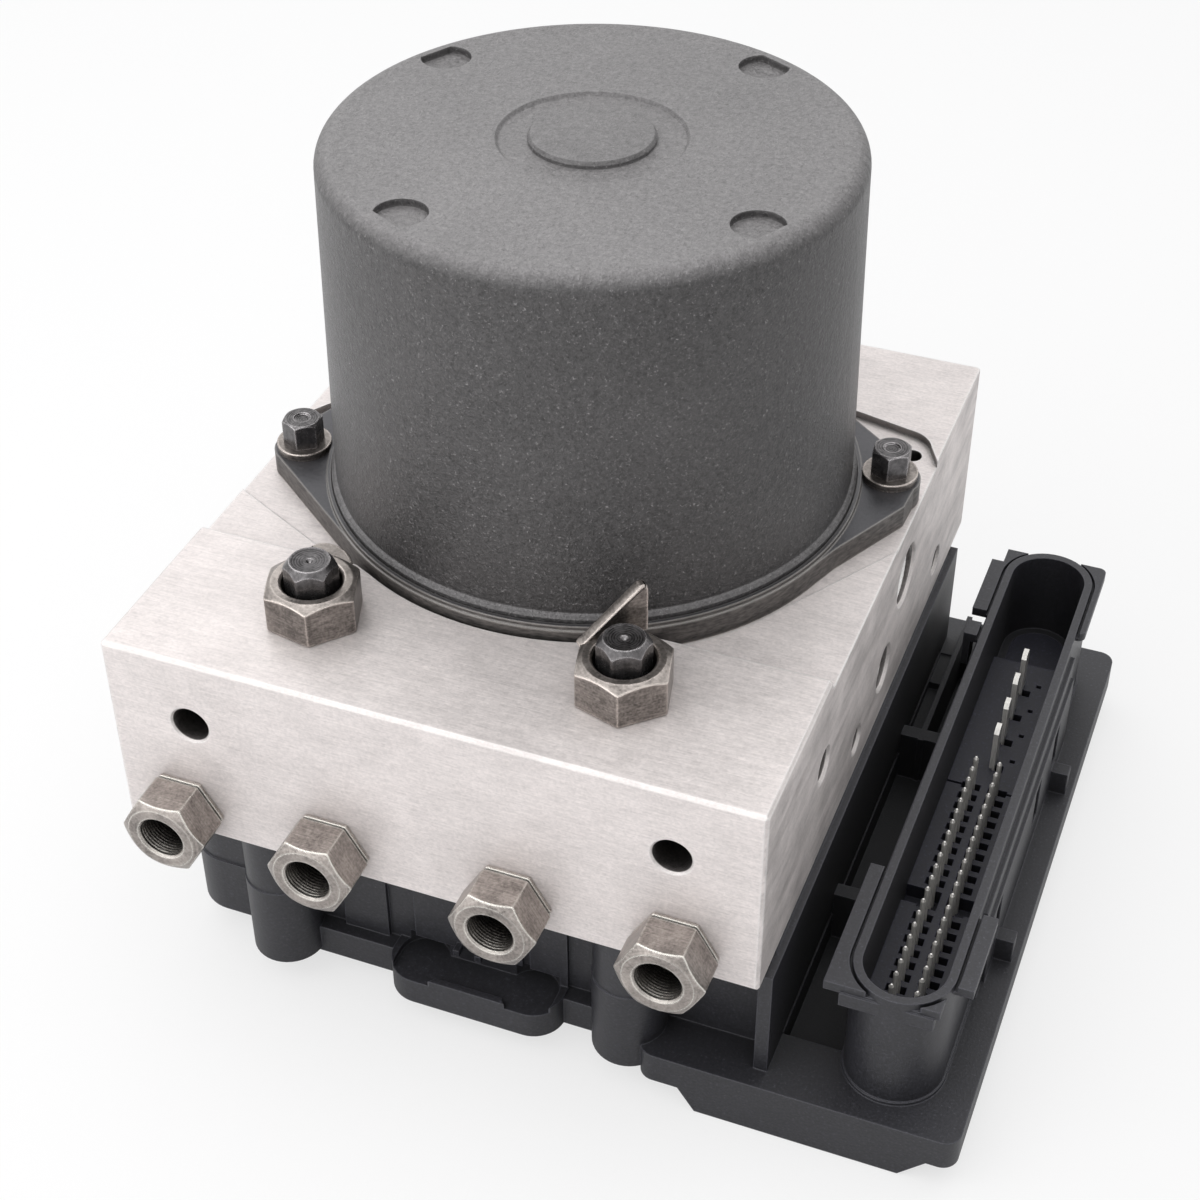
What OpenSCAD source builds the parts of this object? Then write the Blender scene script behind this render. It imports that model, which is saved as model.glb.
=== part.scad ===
// Anti-lock brake module: valve block, pump motor and control unit

/* [Valve block] */
// Width of the block, left to right
block_w = 100; // [96:0.5:110]
// Depth of the block, front to rear
block_d = 116.5; // [112:0.5:125]
// Height of the block at its raised front strip
block_h = 33.6; // [32:0.2:38]
// Chamfer along the block's edges
block_edge = 0.5; // [0.2:0.1:1]
// Depth of the raised front strip
strip_d = 29.2; // [27:0.2:32]
// Drop from the strip to the deck behind it
deck_drop = 2; // [1:0.1:3]
// Radius at the foot of the strip
strip_fillet = 1.6; // [0.5:0.1:1.8]
// Depth of the motor seat below the front deck
seat_drop = 0.4; // [0.2:0.1:1]
// Height of the rear land above the motor seat
land_rise = 1.2; // [0.6:0.1:2]

/* [Bracket holes] */
// Diameter of the two tapped holes in the front face
bracket_hole_d = 5.8; // [4:0.1:7]
// Depth of the tapped holes
bracket_hole_depth = 13; // [8:0.5:15]
// Distance from the block's sides to the bracket holes
bracket_in = 13.2; // [11:0.1:15]
// Height of the tapped holes above the block's underside
bracket_hole_z = 21.8; // [19:0.2:24]

/* [Outlet fittings] */
// Size across flats of the outlet fittings
outlet_af = 11.1; // [10:0.1:12]
// Length of the hexagon in front of the block
outlet_len = 6.6; // [5:0.1:9]
// Width of the groove between hexagon and block
outlet_neck = 0.9; // [0.4:0.1:1.5]
// Bore of the outlet fittings
outlet_bore = 5.4; // [4:0.1:6]
// Diameter of the spigot in the block
outlet_spigot_d = 7.6; // [7:0.1:8.4]
// Length of the spigot in the block
outlet_spigot_len = 11; // [8:0.5:13]
// Height of the outlet axes above the block's underside
outlet_z = 4.8; // [4.4:0.1:6]
// Distance from the left side to the first outlet
outlet_x1 = 10.2; // [9:0.1:11]
// Distance from the left side to the second outlet
outlet_x2 = 34.3; // [33:0.1:36]
// Distance from the right side to the third outlet
outlet_x3 = 37.3; // [35:0.1:39]
// Distance from the right side to the fourth outlet
outlet_x4 = 12.3; // [11:0.1:13]

/* [Inlet fittings] */
// Size across flats of the inlet fittings
inlet_af = 12.9; // [12:0.1:14]
// Height of the inlet fittings above the strip
inlet_h = 6; // [4:0.1:8]
// Bore of the inlet fittings
inlet_bore = 8.9; // [8.4:0.1:9.4]
// Diameter of the inlet spigot in the block
inlet_spigot_d = 11.2; // [10.8:0.1:12]
// Length of the inlet spigot in the block
inlet_spigot_len = 11; // [8:0.5:13]
// Distance between the inlet axes
inlet_spacing = 47.6; // [45:0.2:50]
// Distance from the motor's axis forward to the inlet fittings
inlet_ahead = 48.4; // [47.6:0.1:49.6]
// Turn of the inlet hexagons
inlet_turn = 17; // [0:1:30]
// Thickness of the upright locating lug
lug_t = 1.4; // [1:0.1:2]
// Height of the upright lug above the strip
lug_h = 15; // [10:0.5:18]

/* [Blanking plugs] */
// Size across flats of the plug heads
plug_af = 7; // [6:0.1:7.4]
// Height of the plug heads above the strip
plug_top = 10.2; // [8:0.1:12]
// Depth of the plug stems below the top of the inlet fitting
plug_depth = 9; // [6:0.5:12]
// Diameter of the round land on top of a plug
plug_land_d = 5.9; // [4.5:0.1:6]

/* [Motor] */
// Distance from the block's middle right to the motor's axis
motor_right = 0.5; // [-1:0.1:1]
// Distance from the block's middle back to the motor's axis
motor_back = 6.45; // [5:0.05:8]
// Diameter of the can at its foot
can_d = 81.8; // [78:0.2:82.4]
// Diameter of the can below its top edge
can_top_d = 78.6; // [76:0.2:79]
// Height of the can
can_h = 56; // [54:0.5:66]
// Wall of the can
can_wall = 2; // [1.5:0.1:2.4]
// Radius of the can's top edge
can_round = 2.75; // [1.5:0.05:4]
// Height of the bead at the foot of the can
bead_h = 1.7; // [1:0.1:3]
// Radius at which the four dimples sit
dimple_at = 33.6; // [30:0.2:34]
// Width of a dimple
dimple_w = 7.6; // [5:0.1:8]
// Depth of a dimple
dimple_depth = 1.1; // [0.5:0.1:1.3]
// Turn of the dimples
dimple_turn = 62; // [0:1:90]
// Outer radius of the ring pressed into the can's top
top_ring_r = 13.7; // [12:0.1:16]
// Radius of the raised centre of the can's top
top_disc_r = 9.2; // [8:0.1:11]
// Height of the raised centre
top_disc_h = 0.5; // [0.2:0.1:1]

/* [Motor flange] */
// Thickness of the flange
flange_t = 3.8; // [3:0.1:5]
// Radius of the flange's round part
flange_r = 42; // [41.8:0.1:42.6]
// Radius of the bolt circle
ear_at = 46; // [44.5:0.1:46.5]
// Radius of the ears
ear_r = 4.8; // [4.4:0.1:5]
// Turn of the ears
ear_turn = 15.8; // [10:0.2:20]
// Height of the rim around the can
rim_h = 0.7; // [0.3:0.1:1.2]
// Radius of the flange's spigot in the block
flange_spigot_r = 14; // [13:0.2:16]
// Length of the flange's spigot
flange_spigot_len = 2.2; // [1.5:0.1:3]

/* [Motor bolts] */
// Size across flats of the bolt heads
bolt_af = 5.6; // [5:0.1:7]
// Height of the bolt heads
bolt_head_h = 4.3; // [3:0.1:5]
// Diameter of the bolt shanks
bolt_d = 4; // [3:0.1:4.4]
// Depth of the bolts in the block
bolt_depth = 5.6; // [4:0.1:5.8]
// Diameter of the washers
washer_d = 8.6; // [8:0.1:9.4]
// Thickness of the washers
washer_t = 1.2; // [0.6:0.1:1.6]

/* [Motor inside] */
// Diameter of the motor shaft
shaft_d = 8; // [6:0.5:9]
// Thickness of the magnets
magnet_t = 5; // [4:0.25:6]
// Length of the magnets
magnet_len = 33; // [28:1:34]
// Angle that each magnet covers
magnet_angle = 72; // [60:1:80]
// Air gap between armature and magnets
air_gap = 0.7; // [0.4:0.1:1]
// Length of the armature core
core_len = 26; // [20:1:27]
// Number of armature slots
slot_n = 12; // [10:1:14]
// Radius of the commutator
commutator_r = 9.5; // [8:0.5:11]
// Length of the commutator
commutator_len = 7; // [6:0.5:8]
// Width of the carbon brushes
brush_w = 6; // [4:0.5:7]
// Length of the carbon brushes
brush_len = 9; // [7:0.5:11]
// Thickness of the brush plate
brush_plate_t = 1.8; // [1:0.1:2.2]
// Clearance between parts that run on each other
run_gap = 0.05; // [0.02:0.01:0.1]

/* [Bearing and pump] */
// Outer radius of the ball bearing
bearing_r = 11; // [10.5:0.1:11.5]
// Width of the ball bearing
bearing_w = 7; // [5:0.5:7]
// Number of balls
ball_n = 8; // [6:1:9]
// Throw of the eccentric
throw = 1; // [0.5:0.1:1.2]
// Height of the pump axis above the block's underside
pump_z = 13; // [12:0.2:13.4]
// Outer radius of the eccentric ring
ring_r = 8; // [7.5:0.1:8.4]
// Width of the eccentric ring
ring_w = 9; // [8:0.2:9.6]
// Diameter of the pump pistons
piston_d = 6.4; // [5:0.2:7]
// Length of the pump pistons
piston_len = 20; // [16:0.5:24]
// Length of the nose on the pump cap
pump_nose = 4.75; // [4:0.25:6]
// Wire of the pump springs
pump_wire = 0.9; // [0.6:0.1:1]
// Diameter of the pump cap
pump_cap_d = 14; // [12:0.5:16]
// Thickness of the pump cap
pump_cap_t = 6; // [4:0.5:8]

/* [Accumulators] */
// Bore of the accumulators
acc_d = 22; // [18:0.5:23]
// Depth of the accumulator bores
acc_depth = 19; // [17:0.5:22]
// Distance from the block's sides to the accumulators
acc_in = 22; // [21.5:0.25:23]
// Distance from the rear face to the accumulators
acc_from_rear = 25; // [23.5:0.25:26.5]
// Height of an accumulator piston
acc_piston_h = 6.5; // [5:0.25:7]
// Travel of an accumulator piston
acc_travel = 5; // [3:0.25:6]
// Thickness of the accumulator caps
acc_cap_t = 2.4; // [1.5:0.1:3]
// Wire of the accumulator springs
acc_wire = 1.4; // [1:0.1:1.5]

/* [Valves] */
// Diameter of the valve cartridges
valve_d = 9; // [8:0.2:9.6]
// Depth of the valve cartridges in the block
valve_depth = 16; // [12:0.5:17]
// Distance between the valves of one pair
valve_pitch = 22; // [20:0.5:23]
// Distance from the front face to the first valve row
valve_y = 24.5; // [22:0.5:25]
// Distance between the valve rows
valve_rows = 21.5; // [20:0.5:22.5]
// Diameter of the valve domes below the block
dome_d = 7.4; // [6.6:0.2:8]
// Length of the valve domes below the block
dome_len = 16.5; // [14:0.5:17.5]
// Diameter of the plungers
plunger_d = 5.6; // [4.6:0.2:5.8]
// Stroke of the plungers
plunger_stroke = 0.4; // [0.2:0.05:0.6]
// Outer diameter of the coils
coil_d = 17; // [15:0.5:17.5]
// Height of the coils
coil_h = 15; // [12:0.5:16]

// Diameter of the pressure sensor's flange
sensor_d = 11; // [9:0.5:12]
// Height of the pressure sensor's flange
sensor_h = 6; // [4:0.5:8]
// Width of the largest chip on the board
chip_w = 14; // [10:0.5:15]
// Thickness of the chips
chip_t = 1.6; // [1:0.1:2]

/* [Side ports] */
// Diameter of the large port in each side face
port_d = 9.8; // [8:0.1:10]
// Diameter of the second port
second_port_d = 7.3; // [6:0.1:8]
// Diameter of the front gallery hole
front_gallery_d = 5.2; // [4:0.1:6]
// Diameter of the two low gallery holes
low_gallery_d = 4.4; // [3.6:0.1:5]

/* [Control unit housing] */
// Height of the housing between the block and the plate
ecu_wall_h = 20.4; // [20:0.2:24]
// Height of the skirt below the top of the plate
skirt_h = 5.4; // [4.6:0.1:7]
// Depth of the tub below the skirt
tub_h = 4.2; // [3.8:0.1:6]
// Wall of the housing
ecu_wall = 2.2; // [1.8:0.1:2.6]
// Step of the housing's front wall behind the block's front face
wall_back = 8.3; // [7.5:0.1:9]
// Step of the housing's left wall behind the block's left side
wall_in = 3; // [2:0.1:4]
// Radius of the housing's corners
ecu_corner = 6; // [3:0.2:7]
// Overhang of the plate beyond the block's right side
plate_over = 30.4; // [30:0.2:34]
// Diameter of the screw bosses
boss_d = 11.4; // [10:0.2:12]
// Distance from the block's left side to the left bosses
boss_x1 = 21.7; // [21:0.1:23]
// Distance from the block's right side to the right bosses
boss_in = 21.2; // [21:0.1:23]
// Depth of the trough beside the connector
trough_depth = 5; // [3:0.1:5.2]
// Thickness of the cross ribs beside the connector
rib_t = 2.5; // [1.5:0.1:3]
// Height of the cross ribs above the plate
rib_h = 4.4; // [2:0.1:6]
// Thickness of the bottom cover
cover_t = 1.4; // [1:0.1:1.6]

/* [Connector] */
// Distance from the block's right side to the connector's centre
shroud_x = 18; // [17:0.1:18.4]
// Outer width of the shroud
shroud_w = 14.8; // [14:0.1:15.4]
// Distance from the front face to the shroud
shroud_front = 4; // [3.5:0.1:6]
// Distance from the rear face to the shroud
shroud_rear = 4.9; // [4.5:0.1:8]
// Wall of the shroud
shroud_wall = 1.3; // [1:0.1:1.6]
// Height of the shroud's mouth above the block's underside
shroud_top = 1.2; // [0:0.1:4]
// Depth of the pin carrier's top below the shroud's mouth
carrier_drop = 12.7; // [10:0.1:14]
// Thickness of the collar plates
collar_t = 1.6; // [1:0.1:2]

/* [Terminals] */
// Number of small pins in each row
pin_n = 21; // [15:1:21]
// Spacing of the small pins
pin_pitch = 2.54; // [2.4:0.02:2.6]
// Distance between the two rows
pin_rows = 3.8; // [3.2:0.1:4.4]
// Diameter of the small pins
pin_d = 0.8; // [0.6:0.05:1]
// Depth of the pin tips below the shroud's mouth
pin_drop = 6.2; // [5:0.1:8]
// Number of power blades
blade_n = 4; // [3:1:4]
// Spacing of the power blades
blade_pitch = 6.6; // [6:0.1:7]
// Width of the power blades
blade_w = 2.8; // [2:0.1:3.2]
// Thickness of the power blades
blade_t = 0.8; // [0.6:0.05:1]
// Depth of the blade tips below the shroud's mouth
blade_drop = 4.5; // [3.5:0.1:6]

/* [Hidden] */
$fn = 64;
eps = 0.01;

// Levels, measured from the block's underside
deck_z = block_h - deck_drop;
seat_z = deck_z - seat_drop;
land_z = seat_z + land_rise;
flank_in = 0.06;
flange_z = seat_z + flange_t;
can_top_z = flange_z + can_h;
plate_z = -ecu_wall_h;
skirt_z = plate_z - skirt_h;
rest_z = skirt_z - tub_h;

// Motor
motor_from_left = block_w / 2 + motor_right;
motor_from_front = block_d / 2 + motor_back;
can_r = can_d / 2;
can_top_r = can_top_d / 2;
can_in_r = can_top_r - can_wall;
rim_r = can_r + 0.1;
core_mid_z = flange_z + 0.52 * can_h;
core_r = can_in_r - magnet_t - air_gap;
slot_r = core_r * 0.17;
slot_at = core_r * 0.74;
brush_spring_len = 5;
commutator_z = flange_z + brush_plate_t + 0.9;
winding_h = 4.2;
shaft_r = shaft_d / 2;
bush_h = 5;
bearing_z = seat_z - flange_spigot_len - 0.4 - bearing_w;
chamber_r = bearing_r + 0.2;

// Pocket behind the right ear, from the motor's axis
pocket_r = 5;
pocket_c = [block_w - motor_from_left - 6.65, 24.8];
pocket_turn = 13.1;
pocket_out = 27.3;
locating_hole = [block_w - motor_from_left - 4.6, 24.6];

// Pump
journal_r = ring_r - 2.6;
ecc_z = pump_z - ring_w / 2;
piston_r = piston_d / 2;
piston_gap = throw + run_gap;
piston_start = ring_r + piston_gap;
piston_end = piston_start + piston_len;
pump_bore_end = block_d - motor_from_front - pump_cap_t - pump_nose;
pump_spring_len = pump_bore_end - piston_end;
pump_cap_y = block_d - pump_cap_t;

// Accumulators
acc_r = acc_d / 2;
acc_xs = [acc_in, block_w - acc_in];
acc_y = block_d - acc_from_rear;
acc_piston_top = acc_depth - 0.6;
acc_spring_z = acc_cap_t;
acc_spring_len = acc_piston_top - acc_piston_h - acc_cap_t;
acc_spring_r = acc_r - acc_wire - 1.4;

// Valves: columns and rows
valve_in = wall_in + ecu_wall + coil_d / 2 + 0.3;
valve_xs = [valve_in, valve_in + valve_pitch, block_w - valve_in - valve_pitch, block_w - valve_in];
valve_ys = [valve_y, valve_y + valve_rows];
dome_wall = (dome_d - plunger_d) / 2 - run_gap;
dome_floor = 1;
plunger_len = dome_len - 6;
valve_spring_len = dome_len - dome_floor - plunger_len - plunger_stroke - 0.7;

// Fittings
outlet_xs = [outlet_x1, outlet_x2, block_w - outlet_x3, block_w - outlet_x4];
inlet_y = motor_from_front - inlet_ahead;
inlet_xs = [block_w / 2 - inlet_spacing / 2, block_w / 2 + inlet_spacing / 2];
inlet_r = inlet_bore / 2;

// Side ports: distance from the front, height, diameter, depth
side_ports = [
    [motor_from_front + 7.4, 20.8, port_d, 11],
    [motor_from_front - 2.9, 9.9, second_port_d, 13],
    [valve_ys[0] + 3.3, 18.8, front_gallery_d, 12],
    [valve_ys[1] + 1.3, 7.1, low_gallery_d, 11],
    [acc_y + 3.7, 7.1, low_gallery_d, 13]
];

// Control unit
boss_r = boss_d / 2;
boss_y1 = boss_r + 0.2;
boss_y2 = block_d - boss_r - 0.4;
boss_x2 = block_w - boss_in;
boss_xs = [boss_x1, boss_x2];
boss_ys = [boss_y1, boss_y2];
screw_d = 4;
wall_x0 = wall_in;
wall_y0 = wall_back;
wall_y1 = block_d - 5;
bay_x0 = wall_x0 + ecu_wall;
bay_x1 = block_w - ecu_wall;
bay_y0 = wall_y0 + ecu_wall + 4;
bay_y1 = boss_y2 - boss_r - 0.5;
sensor_y = bay_y1 - 14.5;
chips_y = valve_ys[1] + coil_d / 2 + 3.5;
board_x1 = block_w + shroud_x + 3.4;
plate_x1 = block_w + plate_over;
plate_y1 = block_d - 1.5;
tub_x0 = boss_x2 + 9.7;
seam_z = -15;
boss_seam_z = -10;
lip_t = 1.1;
tray_x0 = block_w / 2 - 10;
tray_x1 = tray_x0 + 28.3;
panels = [[tray_x0 - 9.1, tray_x0 - 1.6], [tray_x0 + 3, tray_x0 + 20.8], [tray_x0 + 22, tray_x1 - 0.1]];
tray_y0 = 1;
trough_z = plate_z - trough_depth;
seal_t = 0.8;
board_t = 1.6;
board_z = rest_z + cover_t + 0.2;
bay_z = board_z + board_t;

// Connector
shroud_cx = block_w + shroud_x;
shroud_r = shroud_w / 2;
shroud_end = block_d - shroud_rear;
shroud_y0 = shroud_front + shroud_r;
shroud_y1 = shroud_end - shroud_r;
shroud_in_r = shroud_r - shroud_wall;
collar_x = shroud_r + 2.6;
collar_len = 24.3;
carrier_z = shroud_top - carrier_drop;
pins_y0 = shroud_front + 8.5;
lock_z = carrier_z - 3;
cell_w = 1.5;
cell_l = 3;
strip_w = 1.2;
slot_w = 3.6;
slot_y = pins_y0 + 8.9 * pin_pitch;
pin_tip_z = shroud_top - pin_drop;
blade_tip_z = shroud_top - blade_drop;
blade_y0 = pins_y0 + (pin_n - 1) * pin_pitch + blade_pitch;
pin_foot_z = board_z;

// Origin: the motor axis at the plane the module stands on
module placed() {
    translate([-motor_from_left, -motor_from_front, -rest_z]) children();
}

module on_motor(z = 0) {
    translate([motor_from_left, motor_from_front, z]) children();
}

// Cylinder along Y, from its front end
module along_y(d, len) {
    rotate([-90, 0, 0]) cylinder(d = d, h = len);
}

// Cylinder along X, from its left end
module along_x(d, len) {
    rotate([0, 90, 0]) cylinder(d = d, h = len);
}

// Hexagonal prism with its outer corners turned off at 30 degrees
module hex_head(af, h, top = true) {
    r = af / 2;
    corner = r / cos(30);
    drop = (corner - r) * tan(30);
    intersection() {
        cylinder(r = corner, h = h, $fn = 6);
        rotate_extrude() polygon([
            [0, 0],
            [corner + eps, 0],
            [corner + eps, top ? h - drop * 1.6 : h],
            [r - 0.15, h],
            [0, h]
        ]);
    }
}

// Rectangle with round corners, given by two opposite corners
module round_rect(x0, y0, x1, y1, r) {
    translate([x0 + r, y0]) square([x1 - x0 - 2 * r, y1 - y0]);
    translate([x0, y0 + r]) square([x1 - x0, y1 - y0 - 2 * r]);
    for (x = [x0 + r, x1 - r])
        for (y = [y0 + r, y1 - r])
            translate([x, y]) circle(r = r);
}

module round_slab(x0, y0, x1, y1, r, z0, z1) {
    translate([0, 0, z0]) linear_extrude(z1 - z0) round_rect(x0, y0, x1, y1, r);
}

// Oblong prism of the connector, along Y
module oblong(r, z0, z1) {
    translate([shroud_cx, shroud_y0, z0]) cylinder(r = r, h = z1 - z0);
    translate([shroud_cx, shroud_y1, z0]) cylinder(r = r, h = z1 - z0);
    translate([shroud_cx - r, shroud_y0, z0]) cube([2 * r, shroud_y1 - shroud_y0, z1 - z0]);
}

// Disc with two opposite ears joined to it by flanks that run just inside the tangents
module eared_disc(disc_r, end_r, at) {
    a = acos((disc_r - end_r) / at);
    r0 = disc_r - flank_in;
    r1 = end_r - flank_in;
    circle(r = disc_r, $fn = 128);
    for (side = [0, 180])
        rotate(side) {
            translate([at, 0]) circle(r = end_r);
            polygon([
                [0, 0],
                [r0 * cos(a), -r0 * sin(a)],
                [at + r1 * cos(a), -r1 * sin(a)],
                [at + r1 * cos(a), r1 * sin(a)],
                [r0 * cos(a), r0 * sin(a)]
            ]);
        }
}

module at_bolts(z) {
    for (side = [0, 180])
        on_motor(z) rotate(ear_turn + side) translate([ear_at, 0, 0]) children();
}

module at_bosses(z) {
    for (x = boss_xs)
        for (y = boss_ys)
            translate([x, y, z]) children();
}

module at_valves(z) {
    for (x = valve_xs)
        for (y = valve_ys)
            translate([x, y, z]) children();
}

module at_accumulators(z) {
    for (x = acc_xs)
        translate([x, acc_y, z]) children();
}

// Coil spring standing on z = 0, wire swept along its helix
module coil_spring(r, wire, len, turns, steps = 14, sides = 6) {
    n = turns * steps;
    rise = len - wire;
    function ring(i) = [
        for (j = [0 : sides - 1])
            let (
                a = 360 * i / steps,
                b = 360 * j / sides,
                rr = r + wire / 2 * cos(b)
            )
            [rr * cos(a), rr * sin(a), wire / 2 + rise * i / n + wire / 2 * sin(b)]
    ];
    points = [for (i = [0 : n]) each ring(i)];
    faces = [
        [for (j = [0 : sides - 1]) j],
        [for (j = [sides - 1 : -1 : 0]) n * sides + j],
        for (i = [0 : n - 1])
            for (j = [0 : sides - 1])
                let (k = (j + 1) % sides)
                [i * sides + j, (i + 1) * sides + j, (i + 1) * sides + k, i * sides + k]
    ];
    polyhedron(points, faces);
}

// Valve block
module block_body() {
    e = block_edge;
    intersection() {
        translate([0, block_d, 0]) rotate([90, 0, 0]) linear_extrude(block_d) polygon([
            [e, 0], [block_w - e, 0], [block_w, e], [block_w, block_h - e],
            [block_w - e, block_h], [e, block_h], [0, block_h - e], [0, e]
        ]);
        rotate([90, 0, 90]) linear_extrude(block_w) polygon([
            [e, 0], [block_d - e, 0], [block_d, e], [block_d, block_h - e],
            [block_d - e, block_h], [e, block_h], [0, block_h - e], [0, e]
        ]);
        linear_extrude(block_h) polygon([
            [e, 0], [block_w - e, 0], [block_w, e], [block_w, block_d - e],
            [block_w - e, block_d], [e, block_d], [0, block_d - e], [0, e]
        ]);
    }
}

// Milled deck: strip foot with a radius, front deck, seat pocket and rear land
module deck_cuts() {
    f = strip_fillet;
    translate([-1, strip_d, land_z]) cube([block_w + 2, block_d, block_h]);
    rotate([90, 0, 90]) translate([0, 0, -1]) linear_extrude(block_w + 2) difference() {
        translate([strip_d, deck_z]) square([f + 1, block_h]);
        difference() {
            translate([strip_d - eps, deck_z - eps]) square([f + eps, f + eps]);
            translate([strip_d + f, deck_z + f]) circle(r = f);
        }
    }
    on_motor(deck_z) rotate(ear_turn) intersection() {
        translate([-block_w, -block_d, 0]) cube([2 * block_w, block_d, block_h]);
        rotate(-ear_turn) translate([-block_w, strip_d + f - motor_from_front, 0])
            cube([2 * block_w, block_d, block_h]);
    }
    on_motor(seat_z) linear_extrude(block_h) rotate(ear_turn)
        eared_disc(flange_r + 0.6, 11.5, ear_at);
    on_motor(seat_z) linear_extrude(block_h) rear_pocket();
}

// Room behind the right ear: a straight rear wall, a rounded corner, and open at the side
module rear_pocket() {
    r = pocket_r - flank_in;
    n1 = [sin(pocket_turn), cos(pocket_turn)];
    n2 = [cos(pocket_out), sin(pocket_out)];
    translate(pocket_c) circle(r = pocket_r);
    polygon([
        [0, 0],
        pocket_c + r * n1 + 24.5 * [-n1[1], n1[0]],
        pocket_c + r * n1,
        pocket_c + r * n2,
        pocket_c + r * n2 + 8 * [n2[1], -n2[0]],
        [block_w - motor_from_left + 1.5, 5]
    ]);
}

module side_port_cuts() {
    for (p = side_ports)
        for (side = [0, 1])
            translate([side ? block_w : 0, p[0], p[1]]) mirror([side, 0, 0]) {
                translate([-1, 0, 0]) along_x(p[2], p[3] + 1);
                translate([-eps, 0, 0]) rotate([0, 90, 0])
                    cylinder(r1 = p[2] / 2 + 0.5, r2 = p[2] / 2, h = 0.5);
            }
}

module valve_block() color("lightgray") placed() difference() {
    block_body();
    deck_cuts();
    side_port_cuts();
    // Bracket holes
    for (side = [-1, 1])
        translate([block_w / 2 + side * (block_w / 2 - bracket_in), -1, bracket_hole_z]) {
            along_y(bracket_hole_d, bracket_hole_depth + 1);
            translate([0, 1 - eps, 0]) rotate([-90, 0, 0])
                cylinder(r1 = bracket_hole_d / 2 + 0.3, r2 = bracket_hole_d / 2, h = 0.3);
        }
    // Outlet spigots and their passages to the valves
    for (i = [0 : 3])
        translate([outlet_xs[i], -1, outlet_z]) {
            along_y(outlet_spigot_d, outlet_spigot_len + 1);
            along_y(3, valve_y);
        }
    // Inlet spigots and their passages
    for (x = inlet_xs)
        translate([x, inlet_y, block_h]) {
            translate([0, 0, -inlet_spigot_len]) cylinder(d = inlet_spigot_d, h = inlet_spigot_len + 1);
            translate([0, 0, -inlet_spigot_len - 4]) cylinder(d = 4, h = 5);
        }
    // Motor bore, bearing seat and eccentric chamber
    on_motor(seat_z - flange_spigot_len - 0.4)
        cylinder(r = flange_spigot_r, h = block_h);
    on_motor(bearing_z) cylinder(r = bearing_r, h = block_h);
    on_motor(ecc_z - 2.5) cylinder(r = chamber_r - 1.6, h = block_h);
    // Pump bore, through the chamber from the rear face
    translate([motor_from_left, motor_from_front - pump_bore_end, pump_z])
        along_y(piston_d + 2 * run_gap, block_d);
    translate([motor_from_left, pump_cap_y, pump_z]) along_y(pump_cap_d, block_d);
    translate([motor_from_left, motor_from_front + piston_end, pump_z])
        along_y(piston_d + 1.4, block_d);
    // Motor bolt holes
    at_bolts(seat_z - bolt_depth - 0.3) cylinder(d = bolt_d, h = block_h);
    // Locating hole behind the right bolt
    on_motor(land_z - 6) translate(locating_hole) cylinder(d = 3.2, h = block_h);
    // Valve and accumulator bores
    at_valves(-1) cylinder(d = valve_d, h = valve_depth + 1);
    at_accumulators(-1) cylinder(r = acc_r, h = acc_depth + 1);
    // Sensor bore and screw holes
    translate([block_w / 2, sensor_y, -1]) cylinder(d = sensor_d - 3, h = 5);
    at_bosses(-1) cylinder(d = screw_d, h = 9.5);
}

// Pipe fittings on the front face
module outlet_fitting() {
    difference() {
        union() {
            translate([0, -outlet_neck, 0]) rotate([90, 0, 0])
                hex_head(outlet_af, outlet_len);
            translate([0, -outlet_neck, 0]) along_y(outlet_af - 1.2, outlet_neck);
            along_y(outlet_spigot_d, outlet_spigot_len);
        }
        translate([0, -outlet_neck - outlet_len - 1, 0])
            along_y(outlet_bore, outlet_neck + outlet_len + outlet_spigot_len + 2);
        translate([0, -outlet_neck - outlet_len - eps, 0]) rotate([-90, 0, 0])
            cylinder(r1 = outlet_bore / 2 + 0.4, r2 = outlet_bore / 2, h = 0.4);
    }
}

module outlet_fittings() color("silver") placed() {
    for (x = outlet_xs)
        translate([x, 0, outlet_z]) outlet_fitting();
}

// Inlet fitting: hexagon on the strip, spigot in the block
module inlet_body() {
    translate([0, 0, block_h]) rotate(inlet_turn) hex_head(inlet_af, inlet_h);
    translate([0, 0, block_h - inlet_spigot_len]) cylinder(d = inlet_spigot_d, h = inlet_spigot_len + 1);
}

module inlet_hole() {
    translate([0, 0, block_h - inlet_spigot_len - 1]) cylinder(r = inlet_r, h = inlet_spigot_len + inlet_h + 2);
    translate([0, 0, block_h + inlet_h - 0.4]) cylinder(r1 = inlet_r, r2 = inlet_r + 0.45, h = 0.45);
}

module inlet_fitting_left() color("silver") placed() translate([inlet_xs[0], inlet_y, 0]) {
    difference() {
        union() {
            inlet_body();
            // Flat locating pad that follows the motor flange
            translate([0, 0, block_h]) linear_extrude(0.8) difference() {
                translate([-8.6, 0]) square([15.5, strip_d - inlet_y - 0.6]);
                translate([motor_from_left - inlet_xs[0], motor_from_front - inlet_y])
                    circle(r = flange_r + 1, $fn = 128);
            }
        }
        inlet_hole();
    }
}

module inlet_fitting_right() color("silver") placed() translate([inlet_xs[1], inlet_y, 0]) {
    back = inlet_af / 2 - 0.6;
    difference() {
        union() {
            inlet_body();
            // Upright triangular lug at the rear
            translate([0, back + lug_t, block_h]) rotate([90, 0, 0]) linear_extrude(lug_t) {
                polygon([
                    [-7, 0], [1.4, 0], [1.4, lug_h - 1], [-1.2, lug_h - 0.8], [-7, 5]
                ]);
                translate([0.3, lug_h - 1.1]) circle(r = 1.1);
            }
        }
        inlet_hole();
    }
}

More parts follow.
